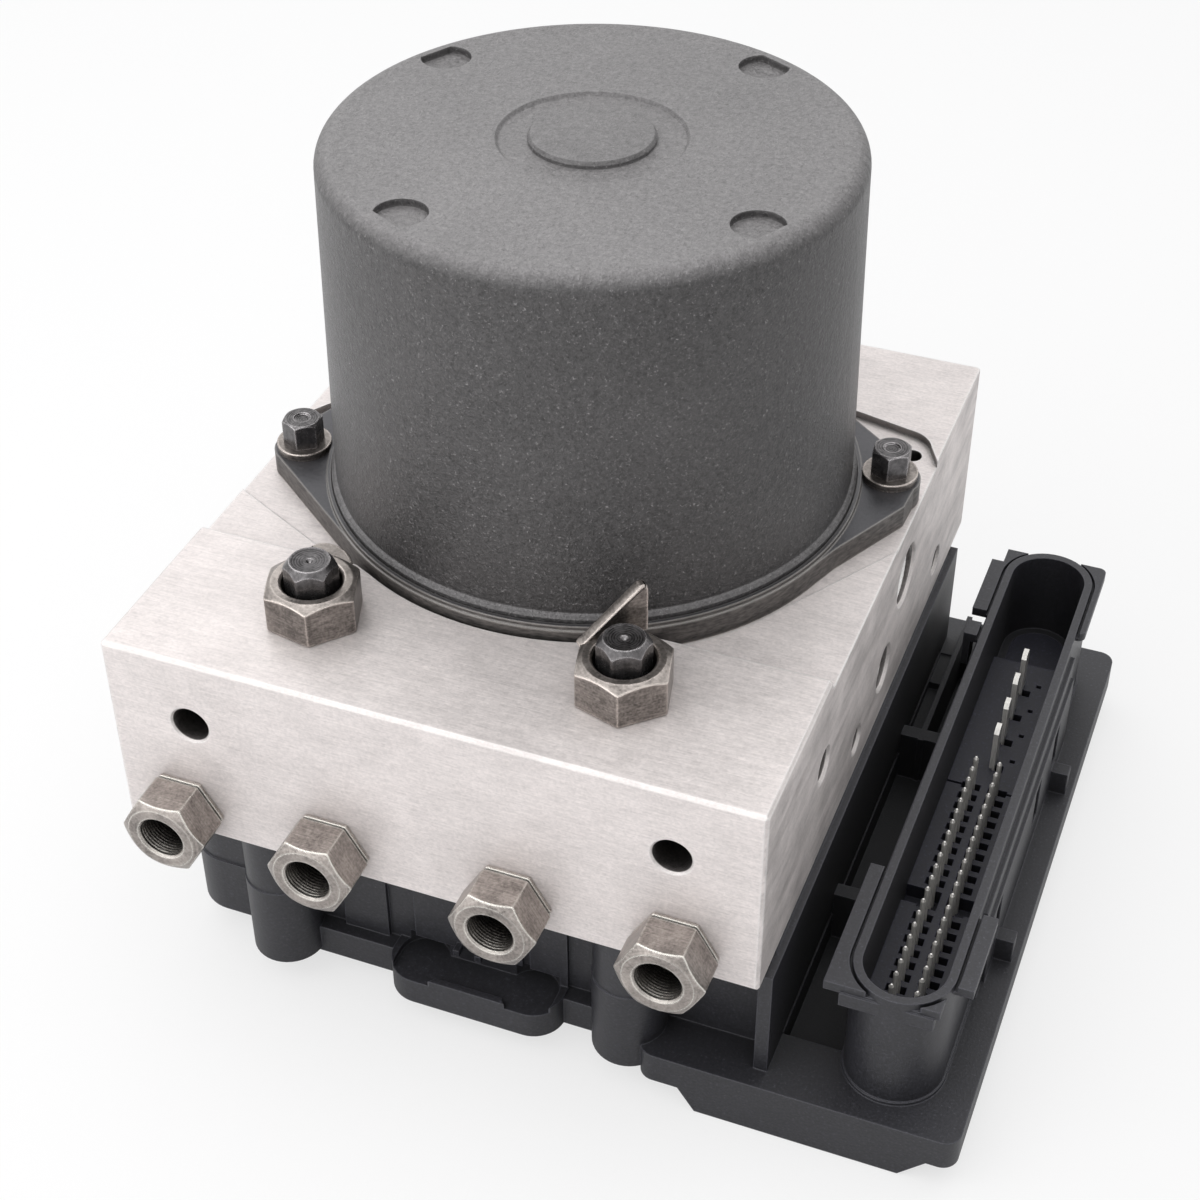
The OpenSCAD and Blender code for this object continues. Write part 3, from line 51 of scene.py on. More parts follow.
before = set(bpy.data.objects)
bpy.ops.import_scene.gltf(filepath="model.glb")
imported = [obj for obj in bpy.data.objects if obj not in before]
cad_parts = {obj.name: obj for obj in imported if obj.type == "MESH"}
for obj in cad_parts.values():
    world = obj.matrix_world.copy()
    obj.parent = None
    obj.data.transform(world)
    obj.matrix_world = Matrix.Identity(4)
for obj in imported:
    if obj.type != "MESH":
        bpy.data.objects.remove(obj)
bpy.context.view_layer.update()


# Shader maths

class Field:
    """A value socket that takes part in Python arithmetic."""

    def __init__(self, tree, socket):
        self.tree = tree
        self.socket = socket

    def _math(self, operation, *others, clamp=False):
        node = self.tree.nodes.new("ShaderNodeMath")
        node.operation = operation
        node.use_clamp = clamp
        for index, value in enumerate((self,) + others):
            if isinstance(value, Field):
                self.tree.links.new(value.socket, node.inputs[index])
            else:
                node.inputs[index].default_value = value
        return Field(self.tree, node.outputs[0])

    def __add__(self, other):
        return self._math("ADD", other)

    __radd__ = __add__

    def __sub__(self, other):
        return self._math("SUBTRACT", other)

    def __rsub__(self, other):
        """The number less the field."""
        node = self.tree.nodes.new("ShaderNodeMath")
        node.operation = "SUBTRACT"
        node.inputs[0].default_value = other
        self.tree.links.new(self.socket, node.inputs[1])
        return Field(self.tree, node.outputs[0])

    def __mul__(self, other):
        return self._math("MULTIPLY", other)

    def __truediv__(self, other):
        return self._math("DIVIDE", other)

    def __abs__(self):
        return self._math("ABSOLUTE")

    def sine(self):
        return self._math("SINE")

    def root(self):
        return self._math("SQRT")

    def least(self, other):
        return self._math("MINIMUM", other)

    def most(self, other):
        return self._math("MAXIMUM", other)

    def clamped(self):
        return self._math("ADD", 0.0, clamp=True)

    def rise(self, low, high):
        """0 below low, 1 above high, straight between; falls where high is the smaller."""
        return ((self - low) / (high - low)).clamped()


class Finish:
    """A material under construction, with its Object coordinates at hand."""

    def __init__(self, name, color, roughness, metallic=0.0):
        self.material = bpy.data.materials.new(name)
        self.material.use_nodes = True
        self.material.diffuse_color = (*color, 1.0)
        self.tree = self.material.node_tree
        self.shader = self.tree.nodes["Principled BSDF"]
        self.shader.inputs["Base Color"].default_value = (*color, 1.0)
        self.shader.inputs["Roughness"].default_value = roughness
        self.shader.inputs["Metallic"].default_value = metallic
        coordinates = self.node("ShaderNodeTexCoord")
        self.place = coordinates.outputs["Object"]
        split = self.node("ShaderNodeSeparateXYZ", inputs={0: self.place})
        self.x, self.y, self.z = (self.field(split.outputs[i]) for i in range(3))
        facing = self.node("ShaderNodeSeparateXYZ", inputs={0: coordinates.outputs["Normal"]})
        self.nx, self.nz = self.field(facing.outputs[0]), self.field(facing.outputs[2])

    def field(self, socket):
        return Field(self.tree, socket)

    def node(self, kind, settings=None, inputs=None):
        """Any node: its settings first, then the values or links of its sockets."""
        node = self.tree.nodes.new(kind)
        for key, value in (settings or {}).items():
            setattr(node, key, value)
        for key, value in (inputs or {}).items():
            if isinstance(value, Field):
                self.tree.links.new(value.socket, node.inputs[key])
            elif isinstance(value, bpy.types.NodeSocket):
                self.tree.links.new(value, node.inputs[key])
            else:
                node.inputs[key].default_value = value
        return node

    def stretched(self, scale):
        """Object coordinates times a vector, for grain that runs one way."""
        node = self.node("ShaderNodeVectorMath", {"operation": "MULTIPLY"},
                         {0: self.place, 1: scale})
        return node.outputs[0]

    def noise(self, scale, detail=3.0, roughness=0.5, distortion=0.0):
        """Noise of 0 to 1 with scale cycles per metre, one number or one for each axis."""
        if isinstance(scale, float):
            scale = (scale, scale, scale)
        node = self.node("ShaderNodeTexNoise", {"noise_dimensions": "3D"}, {
            "Vector": self.stretched(scale), "Scale": 1.0, "Detail": detail,
            "Roughness": roughness, "Distortion": distortion})
        return self.field(node.outputs["Fac"])

    def distance(self, centre):
        """Distance in plan from an upright axis at centre."""
        dx = self.x - centre[0]
        dy = self.y - centre[1]
        return (dx * dx + dy * dy).root()

    def softened(self, radius):
        """The normal as it would be with every edge rounded to the radius."""
        return self.node("ShaderNodeBevel", {"samples": 4}, {"Radius": radius}).outputs[0]

    def edge(self, radius, low=0.02, high=0.25):
        """Mask of sharp edges: how far the rounded normal leaves the true one; the finishes
        lighten edges by it, a painted highlight, with wear as well on some metals.
        """
        true = self.node("ShaderNodeNewGeometry")
        dot = self.node("ShaderNodeVectorMath", {"operation": "DOT_PRODUCT"},
                        {0: self.softened(radius), 1: true.outputs["Normal"]})
        return (1.0 - self.field(dot.outputs["Value"])).rise(low, high)

    def occlusion(self, reach, low, high):
        """Mask of bores and inner corners: how much of the sky the part itself hides; the finishes
        darken colour by it, a painted shade.
        """
        node = self.node("ShaderNodeAmbientOcclusion", {"samples": 6, "only_local": True},
                         {"Distance": reach})
        return (1.0 - self.field(node.outputs["AO"])).rise(low, high)

    def blend(self, amount, first, second):
        """Colour between first and second."""
        node = self.node("ShaderNodeMix", {"data_type": "RGBA"}, {"Factor": amount})
        for name, value in (("A", first), ("B", second)):
            socket = [s for s in node.inputs if s.name == name and s.type == "RGBA"][0]
            if isinstance(value, bpy.types.NodeSocket):
                self.tree.links.new(value, socket)
            else:
                socket.default_value = value if len(value) == 4 else (*value, 1.0)
        return [s for s in node.outputs if s.type == "RGBA"][0]

    def feed(self, name, value):
        socket = value.socket if isinstance(value, Field) else value
        self.tree.links.new(socket, self.shader.inputs[name])

    def relief(self, height, depth, radius=0.0):
        """Bump of the given depth in metres, on a normal rounded over the edges."""
        inputs = {"Height": height, "Strength": 1.0, "Distance": depth}
        if radius:
            inputs["Normal"] = self.softened(radius)
        node = self.node("ShaderNodeBump", None, inputs)
        self.feed("Normal", node.outputs[0])


def shade(color, factor):
    """The colour made lighter or darker by a factor."""
    return tuple(min(1.0, c * factor) for c in color)


# Surfaces

# Angle in degrees above which the edge between two faces stays sharp
CREASE = 24.0


def skin(name, parts, material):
    """One piece from parts, each a grid of points whose rows close on themselves.

    A part is (rows, ring): with ring the last row joins the first, as on a nut;
    otherwise both end rows are capped, as on a plug.
    """
    points, faces, start = [], [], 0
    for rows, ring in parts:
        rows = np.asarray(rows, dtype=float)
        count, size = rows.shape[:2]
        low = np.arange(count if ring else count - 1)[:, None] * size
        high = (low + size) % (count * size)
        here = np.arange(size)[None, :]
        there = (here + 1) % size
        quads = np.stack([low + here, low + there, high + there, high + here], axis=-1) + start
        faces += quads.reshape(-1, 4).tolist()
        if not ring:
            faces += [(start + np.arange(size)[::-1]).tolist(),
                      (start + (count - 1) * size + np.arange(size)).tolist()]
        points.append(rows.reshape(-1, 3))
        start += count * size
    mesh = bpy.data.meshes.new(name)
    mesh.from_pydata(np.concatenate(points).tolist(), [], faces)
    made = bmesh.new()
    made.from_mesh(mesh)
    bmesh.ops.recalc_face_normals(made, faces=made.faces)
    made.to_mesh(mesh)
    made.free()
    mesh.polygons.foreach_set("use_smooth", np.ones(len(mesh.polygons), dtype=bool))
    mesh.set_sharp_from_angle(angle=math.radians(CREASE))
    mesh.materials.append(material)
    piece = bpy.data.objects.new(name, mesh)
    bpy.context.collection.objects.link(piece)
    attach(piece, "module")
    return piece


def hexagon(flats, corner, count=144, blunt=0.00008):
    """Angles and radii of a hexagon: half its width over flats divided by the cosine of
    the angle from the nearest flat's middle, with the corners taken off by the blunt."""
    angle = np.radians(corner) + np.arange(count) * 2 * np.pi / count
    lean = (angle - np.radians(corner)) % (np.pi / 3) - np.pi / 6
    radius = flats / 2 / np.cos(lean)
    return angle, np.minimum(radius, flats / 2 / math.cos(math.pi / 6) - blunt)


def turned(centre, angle, profile):
    """Rows round an upright axis: each profile row is a radius and a height, either
    one number or one for each angle, put at (radius cos, radius sin, height)."""
    rows = []
    for radius, height in profile:
        radius = np.broadcast_to(radius, angle.shape)
        height = np.broadcast_to(height, angle.shape)
        rows.append(np.stack([centre[0] + radius * np.cos(angle),
                              centre[1] + radius * np.sin(angle),
                              centre[2] + height], axis=-1))
    return np.array(rows)


def coned(radius, inner, top, slope, steps=7):
    """Chamfer rows from the inner circle out to the given outline: the height falls by
    the slope for each length of radius, which leaves an arc on every flat."""
    return [(inner + part * (radius - inner), top - part * (radius - inner) * slope)
            for part in np.linspace(0.0, 1.0, steps)]


def forward(rows, centre):
    """The rows given a quarter turn about X, so that up points to the front, and put at
    the centre: (x, y, z) goes to (x, -z, y)."""
    return np.stack([centre[0] + rows[..., 0], centre[1] - rows[..., 2],
                     centre[2] + rows[..., 1]], axis=-1)


def slab(origin, along, across, outline, low, high, edge=0.0003):
    """Flat plate: an outline in the plane of along and across, pushed from low to high
    along their cross product, with both rims drawn in by the edge."""
    origin, along, across = (np.asarray(v, dtype=float) for v in (origin, along, across))
    outline = np.asarray(outline, dtype=float)
    inside = outline.mean(axis=0)
    out = outline - inside
    drawn = inside + out * (1.0 - edge / np.linalg.norm(out, axis=1, keepdims=True))
    push = np.cross(along, across)
    rows = []
    for shape, height in ((drawn, low), (outline, low + edge),
                          (outline, high - edge), (drawn, high)):
        rows.append(origin + shape[:, :1] * along + shape[:, 1:] * across + height * push)
    return np.array(rows)


def rounded(corners, radii, steps=6):
    """Closed outline with a quadratic curve through each corner, from and to the points
    that lie the corner's radius along its two sides."""
    corners = np.asarray(corners, dtype=float)
    before = np.roll(corners, 1, axis=0) - corners
    after = np.roll(corners, -1, axis=0) - corners
    reach = np.asarray(radii, dtype=float)[:, None]
    start = corners + before / np.linalg.norm(before, axis=1, keepdims=True) * reach
    end = corners + after / np.linalg.norm(after, axis=1, keepdims=True) * reach
    part = np.linspace(0.0, 1.0, steps)[None, :, None]
    curve = ((1 - part) ** 2 * start[:, None] + 2 * part * (1 - part) * corners[:, None]
             + part ** 2 * end[:, None])
    return curve.reshape(-1, 2)


def thread(face, inward, centre, radius, turns, pitch, depth, steps=30):
    """Screw ridge in a bore: a three-point profile carried round a circle while it moves
    inward by one pitch a turn; the ridge swells from nothing and dies away again."""
    start, sunk, run_out = 0.0007, 0.00002, 1.2
    profile = ((-0.42, 0.0), (0.42, 0.0), (0.0, 1.0))
    angle = np.linspace(0.0, turns * 2 * np.pi, int(turns * steps) + 1)
    swell = np.clip(np.minimum(angle, angle[-1] - angle) / run_out, 0.05, 1.0)
    travel = face + inward * (start + pitch * angle / (2 * np.pi))
    rows = np.empty((len(angle), len(profile), 3))
    for index, (side, rise) in enumerate(profile):
        reach = radius + sunk - rise * depth * swell
        rows[:, index, 0] = travel + side * pitch * swell
        rows[:, index, 1] = centre[0] + reach * np.cos(angle)
        rows[:, index, 2] = centre[1] + reach * np.sin(angle)
    return rows


def coil(low, high, wire, turns, steps=28, sides=10, rest=0.75):
    """Compression spring in a box: a ring of the wire's radius carried round the axis,
    whose height climbs evenly between the flat rest turns at both ends."""
    low, high = np.asarray(low, dtype=float), np.asarray(high, dtype=float)
    centre = (low + high) / 2
    turn = np.linspace(0.0, turns, int(turns * steps) + 1)[:, None]
    around = (np.arange(sides) * 2 * np.pi / sides)[None, :]
    reach = (high[0] - low[0]) / 2 - wire + wire * np.cos(around)
    climb = np.clip((turn - rest) / (turns - 2 * rest), 0.0, 1.0)
    height = low[2] + wire + (high[2] - low[2] - 2 * wire) * climb + wire * np.sin(around)
    return np.stack([centre[0] + reach * np.cos(2 * np.pi * turn),
                     centre[1] + reach * np.sin(2 * np.pi * turn), height], axis=-1)


# Settings

class BrakeCoatSettings(bpy.types.PropertyGroup):
    can: FloatVectorProperty(
        name="Can coat", description="Colour of the coated motor can",
        subtype="COLOR", size=3, default=(0.078, 0.075, 0.076), min=0.0, max=1.0)
    flange: FloatVectorProperty(
        name="Flange", description="Colour of the motor flange",
        subtype="COLOR", size=3, default=(0.075, 0.074, 0.08), min=0.0, max=1.0)
    grain: FloatProperty(
        name="Grain", description="Depth of the coat's grain",
        unit="LENGTH", subtype="DISTANCE", default=0.00021, min=0.0, max=0.0005)


class BrakeMetalSettings(bpy.types.PropertyGroup):
    block: FloatVectorProperty(
        name="Valve block", description="Colour of the milled aluminium",
        subtype="COLOR", size=3, default=(0.80, 0.745, 0.73), min=0.0, max=1.0)
    fitting: FloatVectorProperty(
        name="Fittings", description="Colour of the plated steel fittings",
        subtype="COLOR", size=3, default=(0.34, 0.307, 0.285), min=0.0, max=1.0)
    bolt: FloatVectorProperty(
        name="Bolts", description="Colour of the dark bolts and plugs",
        subtype="COLOR", size=3, default=(0.115, 0.11, 0.112), min=0.0, max=1.0)
    outlet_flats: FloatProperty(
        name="Outlet over flats", description="Width over flats of the pipe fittings",
        unit="LENGTH", subtype="DISTANCE", default=0.0118, min=0.01, max=0.0125)
    nut_flats: FloatProperty(
        name="Nut over flats", description="Width over flats of the inlet nuts",
        unit="LENGTH", subtype="DISTANCE", default=0.0129, min=0.012, max=0.014)
    nut_height: FloatProperty(
        name="Nut height", description="Height of the inlet nuts above the block",
        unit="LENGTH", subtype="DISTANCE", default=0.0067, min=0.005, max=0.008)
    plug_flats: FloatProperty(
        name="Plug over flats", description="Width over flats of the blanking plugs",
        unit="LENGTH", subtype="DISTANCE", default=0.007, min=0.006, max=0.0075)
    streak: FloatProperty(
        name="Streak depth", description="Depth of the brushed streaks",
        unit="LENGTH", subtype="DISTANCE", default=0.00002, min=0.0, max=0.0002)


class BrakePlasticSettings(bpy.types.PropertyGroup):
    housing: FloatVectorProperty(
        name="Housing", description="Colour of the moulded control unit",
        subtype="COLOR", size=3, default=(0.0225, 0.0225, 0.0275), min=0.0, max=1.0)
    carrier: FloatVectorProperty(
        name="Pin carrier", description="Colour of the insulator in the connector",
        subtype="COLOR", size=3, default=(0.014, 0.014, 0.022), min=0.0, max=1.0)
    tin: FloatVectorProperty(
        name="Terminals", description="Colour of the tinned pins and blades",
        subtype="COLOR", size=3, default=(0.84, 0.82, 0.78), min=0.0, max=1.0)
    grain: FloatProperty(
        name="Grain", description="Depth of the moulded grain",
        unit="LENGTH", subtype="DISTANCE", default=0.00004, min=0.0, max=0.0003)


class BrakeStageSettings(bpy.types.PropertyGroup):
    distance: FloatProperty(
        name="Lamp distance", description="Distance of the lamps from the module",
        unit="LENGTH", subtype="DISTANCE", default=0.6, min=0.2, max=3.0)
    key: FloatProperty(
        name="Key lamp", description="Power of the large lamp above",
        unit="POWER", default=4.6, min=0.0, max=50.0)
    fill: FloatProperty(
        name="Front lamp", description="Power of the soft lamp in front",
        unit="POWER", default=1.8, min=0.0, max=50.0)
    floor_size: FloatProperty(
        name="Floor", description="Width of the floor",
        unit="LENGTH", subtype="DISTANCE", default=6.0, min=1.0, max=20.0)


# Finishes: every finish starts from a neutral tone of 0.5 and adds noises about their middle

def milled_aluminium(settings):
    """Short streaks along the tool path, mottling, bright edges that are a painted highlight, and
    bores and side faces darkened as painted shade.
    """
    base = tuple(settings.block)
    f = Finish("milled_aluminium", base, 0.5, 0.35)
    side = abs(f.nx).rise(0.4, 0.6)
    streak = (f.noise((280.0, 3400.0, 3400.0), 3.0, 0.6) * (1.0 - side)
              + f.noise((2400.0, 90.0, 700.0), 2.0) * side)
    band = (f.noise((160.0, 620.0, 620.0), 3.0, 0.6) * (1.0 - side)
            + f.noise((900.0, 40.0, 260.0), 3.0, 0.6) * side)
    mottle = f.noise((1700.0, 2100.0, 2100.0), 3.0, 0.6, 0.6)
    stain = f.noise((90.0, 120.0, 120.0), 5.0, 0.65)
    tone = (0.5 + (streak - 0.5) * 0.8 + (band - 0.5) * (0.35 + side * 1.6)
            + (mottle - 0.5) * 0.9 + (stain - 0.5) * (0.7 + side * 1.0)).clamped()
    edge = f.edge(0.0007)
    # bore: occlusion mask; the bores and inner corners are blended to near black below, a painted
    # shade.
    bore = f.occlusion(0.013, 0.22, 0.55)
    color = f.blend(tone, shade(base, 0.68), shade(base, 1.18))
    # Side faces, whose normal runs along X, are blended towards dark grey: painted shade.
    color = f.blend(side * 0.16, color, (0.30, 0.28, 0.27))
    color = f.blend(bore, color, f.blend(mottle, (0.02, 0.018, 0.017), (0.12, 0.11, 0.105)))
    # Edges blended towards near white: a painted highlight.
    color = f.blend((edge * (1.0 - bore)).clamped(), color, (1.0, 0.985, 0.975))
    f.feed("Base Color", color)
    f.feed("Metallic", (0.35 + bore * 0.5).clamped())
    f.feed("Roughness", (0.50 + (streak - 0.5) * 0.3 + (mottle - 0.5) * 0.2
                         - edge * 0.08).clamped())
    f.relief(streak + mottle * 0.8 + band * side, settings.streak, 0.0004)
    return f.material


def plated_steel(settings, name, light=1.0, axis="Y"):
    """Drawn hex steel: lines round its axis, mottled stains, bright edges that are a painted
    highlight with wear, and painted shade in the dark bore and, on upright pieces, on the side
    walls.
    """
    base = shade(tuple(settings.fitting), light)
    f = Finish(name, base, 0.36, 0.9)
    lines = {"X": (5200.0, 260.0, 260.0), "Y": (260.0, 5200.0, 260.0),
             "Z": (420.0, 420.0, 3600.0)}[axis]
    streak = f.noise(lines, 3.0, 0.6)
    grain = f.noise(2300.0, 3.0, 0.6)
    stain = f.noise(210.0, 4.0, 0.65, 0.4)
    edge = f.edge(0.0005, 0.015, 0.16)
    # bore: occlusion mask that darkens the bore, a painted shade.
    bore = f.occlusion(0.009, 0.32, 0.72)
    # wall: side walls of upright pieces, made darker than their tops in the tone, a painted shade.
    wall = abs(f.nz).rise(0.5, 0.3) if axis == "Z" else 0.0
    tone = (0.5 + (streak - 0.5) * 0.9 + (stain - 0.5) * 1.3 + (grain - 0.5) * 1.1
            - wall * 0.22).clamped()
    color = f.blend(tone, shade(base, 0.38), shade(base, 1.5))
    color = f.blend(bore, color, shade(base, 0.10))
    # Edges lightened, patchy with the stain: a painted highlight with wear.
    color = f.blend((edge * (0.7 + stain)).clamped() * (1.0 - bore), color, shade(base, 3.2))
    f.feed("Base Color", color)
    f.feed("Roughness", (0.34 + (stain - 0.5) * 0.25 + (grain - 0.5) * 0.2
                         - edge * 0.1).clamped())
    f.relief(streak * 0.8 + grain, settings.streak * 1.6, 0.00035)
    return f.material


def turned_dark_steel(settings, centres):
    """Dark steel heads with fine rings left by the lathe round each centre; the flat tops are
    painted darker than the sides, a painted shade, and the edges lighter, a painted highlight with
    wear.
    """
    base = tuple(settings.bolt)
    f = Finish("turned_dark_steel", base, 0.32, 0.85)
    radius = f.distance(centres[0])
    for centre in centres[1:]:
        radius = radius.least(f.distance(centre))
    ring = (radius * 17000.0).sine() * 0.5 + 0.5
    # flat: top faces; they carry the lathe rings and are made darker than the sides in the tone, a
    # painted shade.
    flat = abs(f.nz).rise(0.8, 0.95)
    stain = f.noise(700.0, 3.0, 0.6)
    scratch = f.noise((1500.0, 1500.0, 300.0), 2.0)
    edge = f.edge(0.0004, 0.015, 0.2)
    grain = f.noise(2300.0, 3.0, 0.6)
    tone = (ring * flat * 0.3 + (stain - 0.5) * 0.7 + (scratch - 0.5) * 0.7
            + (grain - 0.5) * 0.6 + 0.4 - flat * 0.28).clamped()
    color = f.blend(tone, shade(base, 0.35), shade(base, 2.1))
    # Edges lightened, patchy with the stain: a painted highlight with wear.
    color = f.blend((edge * 1.2 * (0.4 + stain)).clamped(), color, shade(base, 5.5))
    f.feed("Base Color", color)
    f.feed("Roughness", (0.26 + (stain - 0.5) * 0.25 + ring * flat * 0.12).clamped())
    f.relief(ring * flat + scratch * 0.4, 0.00001, 0.00025)
    return f.material


def grained_coat(settings, top, centre):
    """Dark coat with a wrinkled grain whose sparkle is painted glints, creased where the can was
    drawn; the top is painted lighter than the sides and darker towards the back, the lower can
    darker, painted light and shade, and the edges carry a painted highlight.
    """
    base = tuple(settings.can)
    f = Finish("grained_coat", base, 0.42)
    grain = f.noise(2500.0, 2.0, 0.6, 0.8)
    peel = f.noise(1000.0, 2.0)
    broad = f.noise((40.0, 40.0, 55.0), 3.0)
    run = f.noise((500.0, 500.0, 70.0), 3.0)
    # Edge mask whose edges are lightened below: a painted highlight.
    edge_highlight = f.edge(0.0012, 0.02, 0.35)
    radius = f.distance(centre)
    rim = f.z.rise(top - 0.007, top - 0.003) * radius.rise(0.034, 0.037)
    # Bright specks of the grain, fewer on the top, blended towards a light colour below: painted
    # glints.
    painted_glint = grain.rise(0.64, 0.74)
    # level: upward faces; the top gets much lighter copies of the coat colour than the sides,
    # painted light.
    level = f.nz.rise(0.25, 0.97)
    # low: lower part of the can, darkened in the tone below, a painted shade.
    low = f.z.rise(top - 0.03, top - 0.06)
    button = radius.rise(0.0090, 0.0086)
    # On the top the tone also falls towards the back with f.y, a painted shade.
    tone = (0.5 + (grain - 0.5) * 1.7 + (peel - 0.5) * 0.7 + (broad - 0.5) * 0.5 - low * 0.3
            - level * (button * 0.14 + f.y * 3.0)).clamped()
    color = f.blend(tone, f.blend(level, shade(base, 0.3), shade(base, 1.35)),
                    f.blend(level, shade(base, 1.4), shade(base, 3.6)))
    color = f.blend((painted_glint * (0.75 - level * 0.4) + edge_highlight * 0.3).clamped(), color, shade(base, 4.2))
    f.feed("Base Color", color)
    f.feed("Roughness", (0.38 + (grain - 0.5) * 0.4 + (broad - 0.5) * 0.1).clamped())
    f.relief(grain + peel * 0.7 + run * (rim * 2.5 + 0.15), settings.grain, 0.0004)
    return f.material


def dark_zinc(settings):
    """Smooth dark face with light edges, a painted highlight with rubbed wear; the sawn rim is
    rougher and warmer.
    """
    base = tuple(settings.flange)
    f = Finish("dark_zinc", base, 0.42, 0.5)
    grain = f.noise(1800.0, 3.0, 0.6)
    stain = f.noise(120.0, 4.0, 0.6)
    sawn = f.noise((700.0, 700.0, 2600.0), 3.0, 0.6)
    edge = f.edge(0.0006)
    wall = abs(f.nz).rise(0.8, 0.5)
    tone = ((grain - 0.5) * 0.7 + (stain - 0.5) * 0.8 + 0.5).clamped()
    color = f.blend(tone, shade(base, 0.65), shade(base, 1.5))
    rim = f.blend((sawn * 1.6 - 0.4).clamped(), (0.035, 0.033, 0.033), (0.19, 0.175, 0.165))
    color = f.blend(wall, color, rim)
    # Edges blended towards light grey: a painted highlight with rubbed wear.
    color = f.blend((edge * 0.8).clamped(), color, (0.42, 0.40, 0.38))
    f.feed("Base Color", color)
    f.feed("Roughness", (0.38 + (grain - 0.5) * 0.2 + (stain - 0.5) * 0.2
                         + wall * 0.12).clamped())
    f.relief(grain + sawn * wall, 0.00004, 0.0003)
    return f.material


def moulded_plastic(name, color, depth, roughness):
    """Near-black moulded plastic with a spark-eroded grain; darker in the hollows and low on the
    upright faces, a painted shade, with painted glints in the grain and a painted highlight on the
    edges.
    """
    base = tuple(color)
    f = Finish(name, base, roughness)
    grain = f.noise(2300.0, 2.0, 0.6)
    cloud = f.noise(60.0, 3.0)
    edge = f.edge(0.0004)
    # level: top faces; they get more of the bright specks below and a little more roughness.
    level = f.nz.rise(0.6, 0.9)
    # Occlusion mask: hollows are blended almost to black below, a painted shade.
    hollow_shade = f.occlusion(0.03, 0.42, 0.92)
    # spark: bright specks of the grain, strongest on top faces and none in the hollows: painted
    # glints.
    spark = grain.rise(0.62, 0.74) * (1.0 - hollow_shade)
    # under: lower upright faces, made darker in the tone, a painted shade.
    under = f.z.rise(0.036, 0.022) * abs(f.nz).rise(0.5, 0.3)
    tone = ((grain - 0.5) * 1.6 + (cloud - 0.5) * 0.5 + 0.44 - under * 0.16).clamped()
    color = f.blend(tone, shade(base, 0.6), shade(base, 1.6))
    color = f.blend((spark * (0.25 + level * 0.35)).clamped(), color, shade(base, 4.0))
    color = f.blend(hollow_shade * 0.92, color, shade(base, 0.1))
    # Edges lightened, less in the hollows: a painted highlight.
    color = f.blend((edge * 0.8).clamped() * (1.0 - hollow_shade * 0.6), color, shade(base, 4.2))
    f.feed("Base Color", color)
    f.feed("Roughness", (roughness + (grain - 0.5) * 0.16 + level * 0.06 - edge * 0.1
                         + hollow_shade * 0.25).clamped())
    f.relief(grain, depth, 0.0003)
    return f.material


def tinned_terminal(settings):
    """Bright tin with drawing lines and a mottled tone."""
    base = tuple(settings.tin)
    f = Finish("tinned_terminal", base, 0.3, 0.4)
    line = f.noise((6000.0, 6000.0, 500.0), 2.0)
    cloud = f.noise((900.0, 900.0, 300.0), 3.0)
    tone = ((line - 0.5) * 0.5 + (cloud - 0.5) * 0.8 + 0.5).clamped()
    edge = f.edge(0.0002)
    color = f.blend(tone, shade(base, 0.6), shade(base, 1.15))
    # Edges blended towards white: a painted highlight.
    f.feed("Base Color", f.blend((edge * 0.7).clamped(), color, (1.0, 0.99, 0.97)))
    f.feed("Roughness", (0.26 + cloud * 0.15).clamped())
    f.relief(line, 0.00001)
    return f.material


def inner_finish(name, color, roughness, metallic):
    """Finish of a piece inside the module: a fine grain and a slow stain."""
    f = Finish(name, color, roughness, metallic)
    grain = f.noise(1500.0, 3.0, 0.6)
    stain = f.noise(125.0, 3.0)
    tone = ((grain - 0.5) * 0.7 + (stain - 0.5) * 0.6 + 0.5).clamped()
    f.feed("Base Color", f.blend(tone, shade(color, 0.7), shade(color, 1.25)))
    f.feed("Roughness", (roughness + (grain - 0.5) * 0.2).clamped())
    f.relief(grain, 0.00002)
    return f.material


def wear(material, *names):
    """Give CAD nodes their finish."""
    for name in names:
        mesh = bpy.data.objects[name].data
        mesh.materials.clear()
        mesh.materials.append(material)


def middle(name):
    """Centre in plan of a CAD node's box."""
    low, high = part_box(name)
    return ((low[0] + high[0]) / 2, (low[1] + high[1]) / 2)


# Operators

# Side ports of the block: y, z, radius of the bore and depth of its thread
PORTS = (
    (0.0074, 0.0508, 0.0049, 0.0005),
    (-0.0029, 0.0399, 0.00365, 0.0004),
    (-0.0369, 0.0488, 0.0026, 0.0003),
)
PORT_TURNS = 3.2
PORT_PITCH = 0.00105


class BRAKE_OT_block(bpy.types.Operator):
    """Finish the valve block and what is pressed into it"""
    bl_idname = "brake.block"
    bl_label = "Valve block"

    def execute(self, context):
        metal = context.scene.brake_metal
        wear(milled_aluminium(metal), "valve_block")
        wear(plated_steel(metal, "pressed_steel", 1.35, "X"),
             "gallery_plugs", "pump_cap", "accumulator_caps")
        low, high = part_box("valve_block")
        parts = []
        for face, inward in ((low[0], 1.0), (high[0], -1.0)):
            for y, z, radius, depth in PORTS:
                rows = thread(face, inward, (y, z), radius, PORT_TURNS, PORT_PITCH, depth)
                parts.append((rows, False))
        cut = inner_finish("cut_thread", (0.95, 0.92, 0.9), 0.25, 0.6)
        skin("port_threads", parts, cut)
        return {"FINISHED"}


# Axes of the two inlet nuts in plan, and how far the motor bolts' axes lie inside their box
INLETS = ((-0.0243, -0.0484), (0.0233, -0.0484))
BOLT_REACH = 0.0032
# Depth of the spigots that hold the fittings in the block
SPIGOT_DEPTH = 0.011
